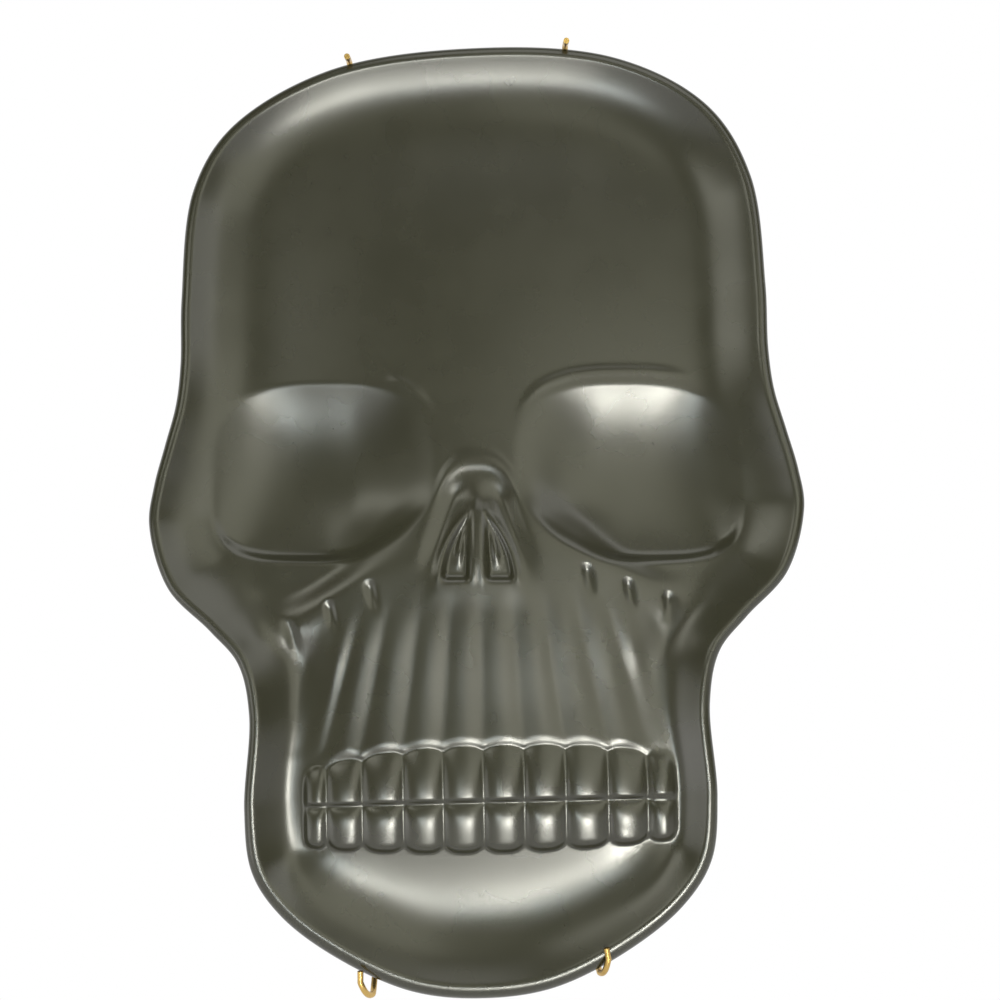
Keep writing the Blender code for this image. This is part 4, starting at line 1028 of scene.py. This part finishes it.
def build_grain_group():
    """Fine grain and slow cloudiness, used by the glaze and by both metals."""
    tree = bpy.data.node_groups.new("surface_grain", "ShaderNodeTree")
    nodes = Nodes(tree)
    tree.interface.new_socket("Vector", in_out="INPUT", socket_type="NodeSocketVector")
    for label, _ in GRAIN_DETAIL:
        tree.interface.new_socket(label + " Scale", in_out="INPUT", socket_type="NodeSocketFloat")
        tree.interface.new_socket(label, in_out="OUTPUT", socket_type="NodeSocketFloat")
    given = nodes.add("NodeGroupInput").outputs
    made = nodes.add("NodeGroupOutput").inputs
    for label, detail in GRAIN_DETAIL:
        node = nodes.add("ShaderNodeTexNoise")
        nodes.link(given["Vector"], node.inputs["Vector"])
        nodes.link(given[label + " Scale"], node.inputs["Scale"])
        node.inputs["Detail"].default_value = detail
        nodes.link(node.outputs["Fac"], made[label])
    return tree


def start_material(name):
    """A new material: its node builder, Principled shader and object coordinates."""
    material = bpy.data.materials.new(name)
    material.use_nodes = True
    nodes = Nodes(material.node_tree)
    shader = material.node_tree.nodes["Principled BSDF"]
    place = nodes.add("ShaderNodeTexCoord").outputs["Object"]
    return material, nodes, shader, place


def grain_node(nodes, place, fine, cloud):
    """The shared grain group, placed with its own scales."""
    tree = bpy.data.node_groups.get("surface_grain") or build_grain_group()
    node = nodes.add("ShaderNodeGroup", node_tree=tree)
    nodes.link(place, node.inputs["Vector"])
    node.inputs["Fine Scale"].default_value = fine
    node.inputs["Cloud Scale"].default_value = cloud
    return node.outputs


def bump(nodes, shader, height, strength, distance):
    """Roughen a shader's normal by a height value."""
    node = nodes.add("ShaderNodeBump")
    node.inputs["Strength"].default_value = strength
    node.inputs["Distance"].default_value = distance
    nodes.link(height, node.inputs["Height"])
    nodes.link(node.outputs["Normal"], shader.inputs["Normal"])


def glaze_material(s):
    """Dark satin glaze: cloudy colour and blur, and fine orange peel."""
    material, nodes, shader, place = start_material("black_glaze")
    grain = grain_node(nodes, place, *GLAZE_GRAIN)
    tone = nodes.ramp(grain["Cloud"], *GLAZE_TONE)
    shade = nodes.mix(tone, (*s.body, 1.0), (*[GLAZE_CLOUD * c for c in s.body], 1.0))
    nodes.link(shade, shader.inputs["Base Color"])
    blur = nodes.ramp(grain["Cloud"], *GLAZE_BLUR, *[s.roughness + step for step in GLAZE_BLUR_RANGE])
    nodes.link(blur, shader.inputs["Roughness"])
    shader.inputs["IOR"].default_value = GLAZE_IOR
    bump(nodes, shader, grain["Fine"], *GLAZE_BUMP)
    return material


def metal_material(name, tint, dark, roughness):
    """Drawn wire: a bright metal with tarnish in patches."""
    material, nodes, shader, place = start_material(name)
    grain = grain_node(nodes, place, *METAL_GRAIN)
    tarnish = nodes.ramp(grain["Cloud"], *METAL_TARNISH)
    shade = nodes.mix(tarnish, (*tint, 1.0), (*[dark * c for c in tint], 1.0))
    nodes.link(shade, shader.inputs["Base Color"])
    blur = nodes.ramp(grain["Cloud"], *METAL_BLUR, *[roughness + step for step in METAL_BLUR_RANGE])
    nodes.link(blur, shader.inputs["Roughness"])
    shader.inputs["Metallic"].default_value = 1.0
    bump(nodes, shader, grain["Fine"], *METAL_BUMP)
    return material


class WALLPLATE_OT_plate(Operator):
    """Build the carved and glazed plate"""

    bl_idname = "wallplate.plate"
    bl_label = "Skull Plate"

    def execute(self, context):
        s = context.scene.wallplate_plate
        mesh = plate_mesh("glazed_plate", PlateShape(s))
        plate = add_piece("glazed_plate", mesh, glaze_material(context.scene.wallplate_glaze))
        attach(plate, ROOT_BODY)
        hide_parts("skull_plate")
        return {"FINISHED"}


class WALLPLATE_OT_wires(Operator):
    """Build the two bent wires of the hanger"""

    bl_idname = "wallplate.wires"
    bl_label = "Hanger Wires"

    def execute(self, context):
        s = context.scene.wallplate_hanger
        shape = HangerShape(context.scene.wallplate_plate, s)
        brass = metal_material("brass_wire", s.brass, BRASS_DARK, BRASS_ROUGHNESS)
        for name, path, body in (
            ("upper_wire", shape.upper, ROOT_BODY),
            ("lower_wire", shape.lower, LOWER_BODY),
        ):
            mesh = tube_mesh("bent_" + name, path, s.wire, WIRE_SIDES)
            wire = add_piece("bent_" + name, mesh, brass)
            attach(wire, body)
            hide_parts(name)
        return {"FINISHED"}


class WALLPLATE_OT_springs(Operator):
    """Build the two springs that join the upper and lower wires"""

    bl_idname = "wallplate.springs"
    bl_label = "Hanger Springs"

    def execute(self, context):
        s = context.scene.wallplate_hanger
        shape = HangerShape(context.scene.wallplate_plate, s)
        steel = metal_material("spring_steel", s.steel, STEEL_DARK, STEEL_ROUGHNESS)
        for name, side in (("spring_left", -1), ("spring_right", 1)):
            path, top, bottom = shape.spring_path(side)
            mesh = tube_mesh("coiled_" + name, path, s.spring_wire, SPRING_SIDES)
            spring = add_piece("coiled_" + name, mesh, steel)
            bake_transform(spring)
            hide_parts(name)
        return {"FINISHED"}


def add_light(name, power, place, aim_level, size, spread, tint):
    """A rectangular soft lamp that faces the middle of the plate at a level."""
    lamp = bpy.data.lights.new(name, "AREA")
    lamp.shape = "RECTANGLE"
    lamp.size, lamp.size_y = size
    lamp.spread = math.radians(spread)
    lamp.energy = power
    lamp.color = tint
    chin = Vector((0.0, 0.0, PLATE_LOW.z))
    ahead = Vector((0.0, 0.0, aim_level)) - Vector(place)
    holder = bpy.data.objects.new(name, lamp)
    holder.location = chin + Vector(place)
    holder.rotation_euler = ahead.to_track_quat("-Z", "Y").to_euler()
    bpy.context.scene.collection.objects.link(holder)


def backdrop_material(tint):
    """Pale matt backdrop that is white to the camera and to reflections, and open from behind."""
    material = bpy.data.materials.new("pale_backdrop")
    material.use_nodes = True
    nodes = Nodes(material.node_tree)
    shader = material.node_tree.nodes["Principled BSDF"]
    shader.inputs["Base Color"].default_value = (*tint, 1.0)
    shader.inputs["Roughness"].default_value = BACKDROP_ROUGHNESS
    white = nodes.add("ShaderNodeEmission").outputs["Emission"]
    path = nodes.add("ShaderNodeLightPath").outputs
    direct = nodes.add("ShaderNodeMath", operation="MAXIMUM")
    for target, ray in zip(direct.inputs, ("Is Camera Ray", "Is Glossy Ray")):
        nodes.link(path[ray], target)
    lit = nodes.add("ShaderNodeMixShader")
    nodes.link(direct.outputs[0], lit.inputs["Fac"])
    nodes.link(shader.outputs["BSDF"], lit.inputs[1])
    nodes.link(white, lit.inputs[2])
    swap = nodes.add("ShaderNodeMixShader")
    nodes.link(nodes.add("ShaderNodeNewGeometry").outputs["Backfacing"], swap.inputs["Fac"])
    nodes.link(lit.outputs["Shader"], swap.inputs[1])
    nodes.link(nodes.add("ShaderNodeBsdfTransparent").outputs["BSDF"], swap.inputs[2])
    nodes.link(swap.outputs["Shader"], material.node_tree.nodes["Material Output"].inputs["Surface"])
    return material


def stage_sheet(name, corners, material):
    """A flat sheet of the stage."""
    mesh = bpy.data.meshes.new(name)
    mesh.from_pydata(corners, [], [tuple(range(len(corners)))])
    mesh.materials.append(material)
    sheet = bpy.data.objects.new(name, mesh)
    bpy.context.scene.collection.objects.link(sheet)


class WALLPLATE_OT_stage(Operator):
    """Build the wall, the floor, the lights and the camera"""

    bl_idname = "wallplate.stage"
    bl_label = "Stage"

    def execute(self, context):
        scene = context.scene
        s = scene.wallplate_stage
        pale = backdrop_material(s.wall)
        low, wide = -s.floor_drop, STAGE_HALF
        flat = ((-wide, -wide), (wide, -wide), (wide, wide), (-wide, wide))
        stage_sheet("floor", [(x, y, low) for x, y in flat], pale)
        upright = ((-wide, low), (wide, low), (wide, wide), (-wide, wide))
        stage_sheet("wall", [(x, WALL_Y, z) for x, z in upright], pale)
        world = bpy.data.worlds.new("studio")
        world.use_nodes = True
        sky = world.node_tree.nodes["Background"]
        sky.inputs["Color"].default_value = SKY_TINT
        sky.inputs["Strength"].default_value = s.sky
        scene.world = world
        for name, lamp in LAMPS.items():
            add_light(name, *lamp)
        rim_y = PLATE_LOW.y + scene.wallplate_plate.lip_radius
        aim = Vector((s.aim_x, rim_y, PLATE_LOW.z + s.aim_level))
        tilt = math.radians(s.tilt)
        ahead = Vector((0.0, math.cos(tilt), math.sin(tilt)))
        camera = bpy.data.cameras.new("camera")
        camera.sensor_width = SENSOR_WIDTH
        camera.lens = s.lens
        camera.clip_start = CLIP_START
        holder = bpy.data.objects.new("camera", camera)
        holder.location = aim - ahead * s.distance
        roll = Matrix.Rotation(math.radians(-s.roll), 3, "Z")
        turn = Matrix.Rotation(math.pi / 2 + tilt, 3, "X") @ roll
        holder.rotation_euler = turn.to_euler()
        scene.collection.objects.link(holder)
        scene.camera = holder
        scene.view_settings.view_transform = "Standard"
        return {"FINISHED"}


class WALLPLATE_PT_sidebar(Panel):
    """Lists the pieces of the wall plate"""

    bl_idname = "WALLPLATE_PT_sidebar"
    bl_label = "Wall Plate"
    bl_space_type = "VIEW_3D"
    bl_region_type = "UI"
    bl_category = "Wall Plate"

    def draw(self, context):
        for operator in OPERATORS:
            self.layout.operator(operator.bl_idname)
        for key in SETTINGS:
            group = getattr(context.scene, key)
            box = self.layout.box()
            for name in group.__annotations__:
                box.prop(group, name)


OPERATORS = (WALLPLATE_OT_plate, WALLPLATE_OT_wires, WALLPLATE_OT_springs, WALLPLATE_OT_stage)
SETTINGS = {
    "wallplate_plate": PlateSettings,
    "wallplate_glaze": GlazeSettings,
    "wallplate_hanger": HangerSettings,
    "wallplate_stage": StageSettings,
}


def register():
    """Add the settings, operators and panel."""
    for key, group in SETTINGS.items():
        bpy.utils.register_class(group)
        setattr(bpy.types.Scene, key, PointerProperty(type=group))
    for operator in OPERATORS:
        bpy.utils.register_class(operator)
    bpy.utils.register_class(WALLPLATE_PT_sidebar)


def unregister():
    """Remove what register added."""
    bpy.utils.unregister_class(WALLPLATE_PT_sidebar)
    for operator in reversed(OPERATORS):
        bpy.utils.unregister_class(operator)
    for key, group in SETTINGS.items():
        delattr(bpy.types.Scene, key)
        bpy.utils.unregister_class(group)


def main():
    """Build every piece and the stage."""
    register()
    bpy.ops.wallplate.plate()
    bpy.ops.wallplate.wires()
    bpy.ops.wallplate.springs()
    bpy.ops.wallplate.stage()
    bpy.context.view_layer.update()


if __name__ == "__main__":
    main()
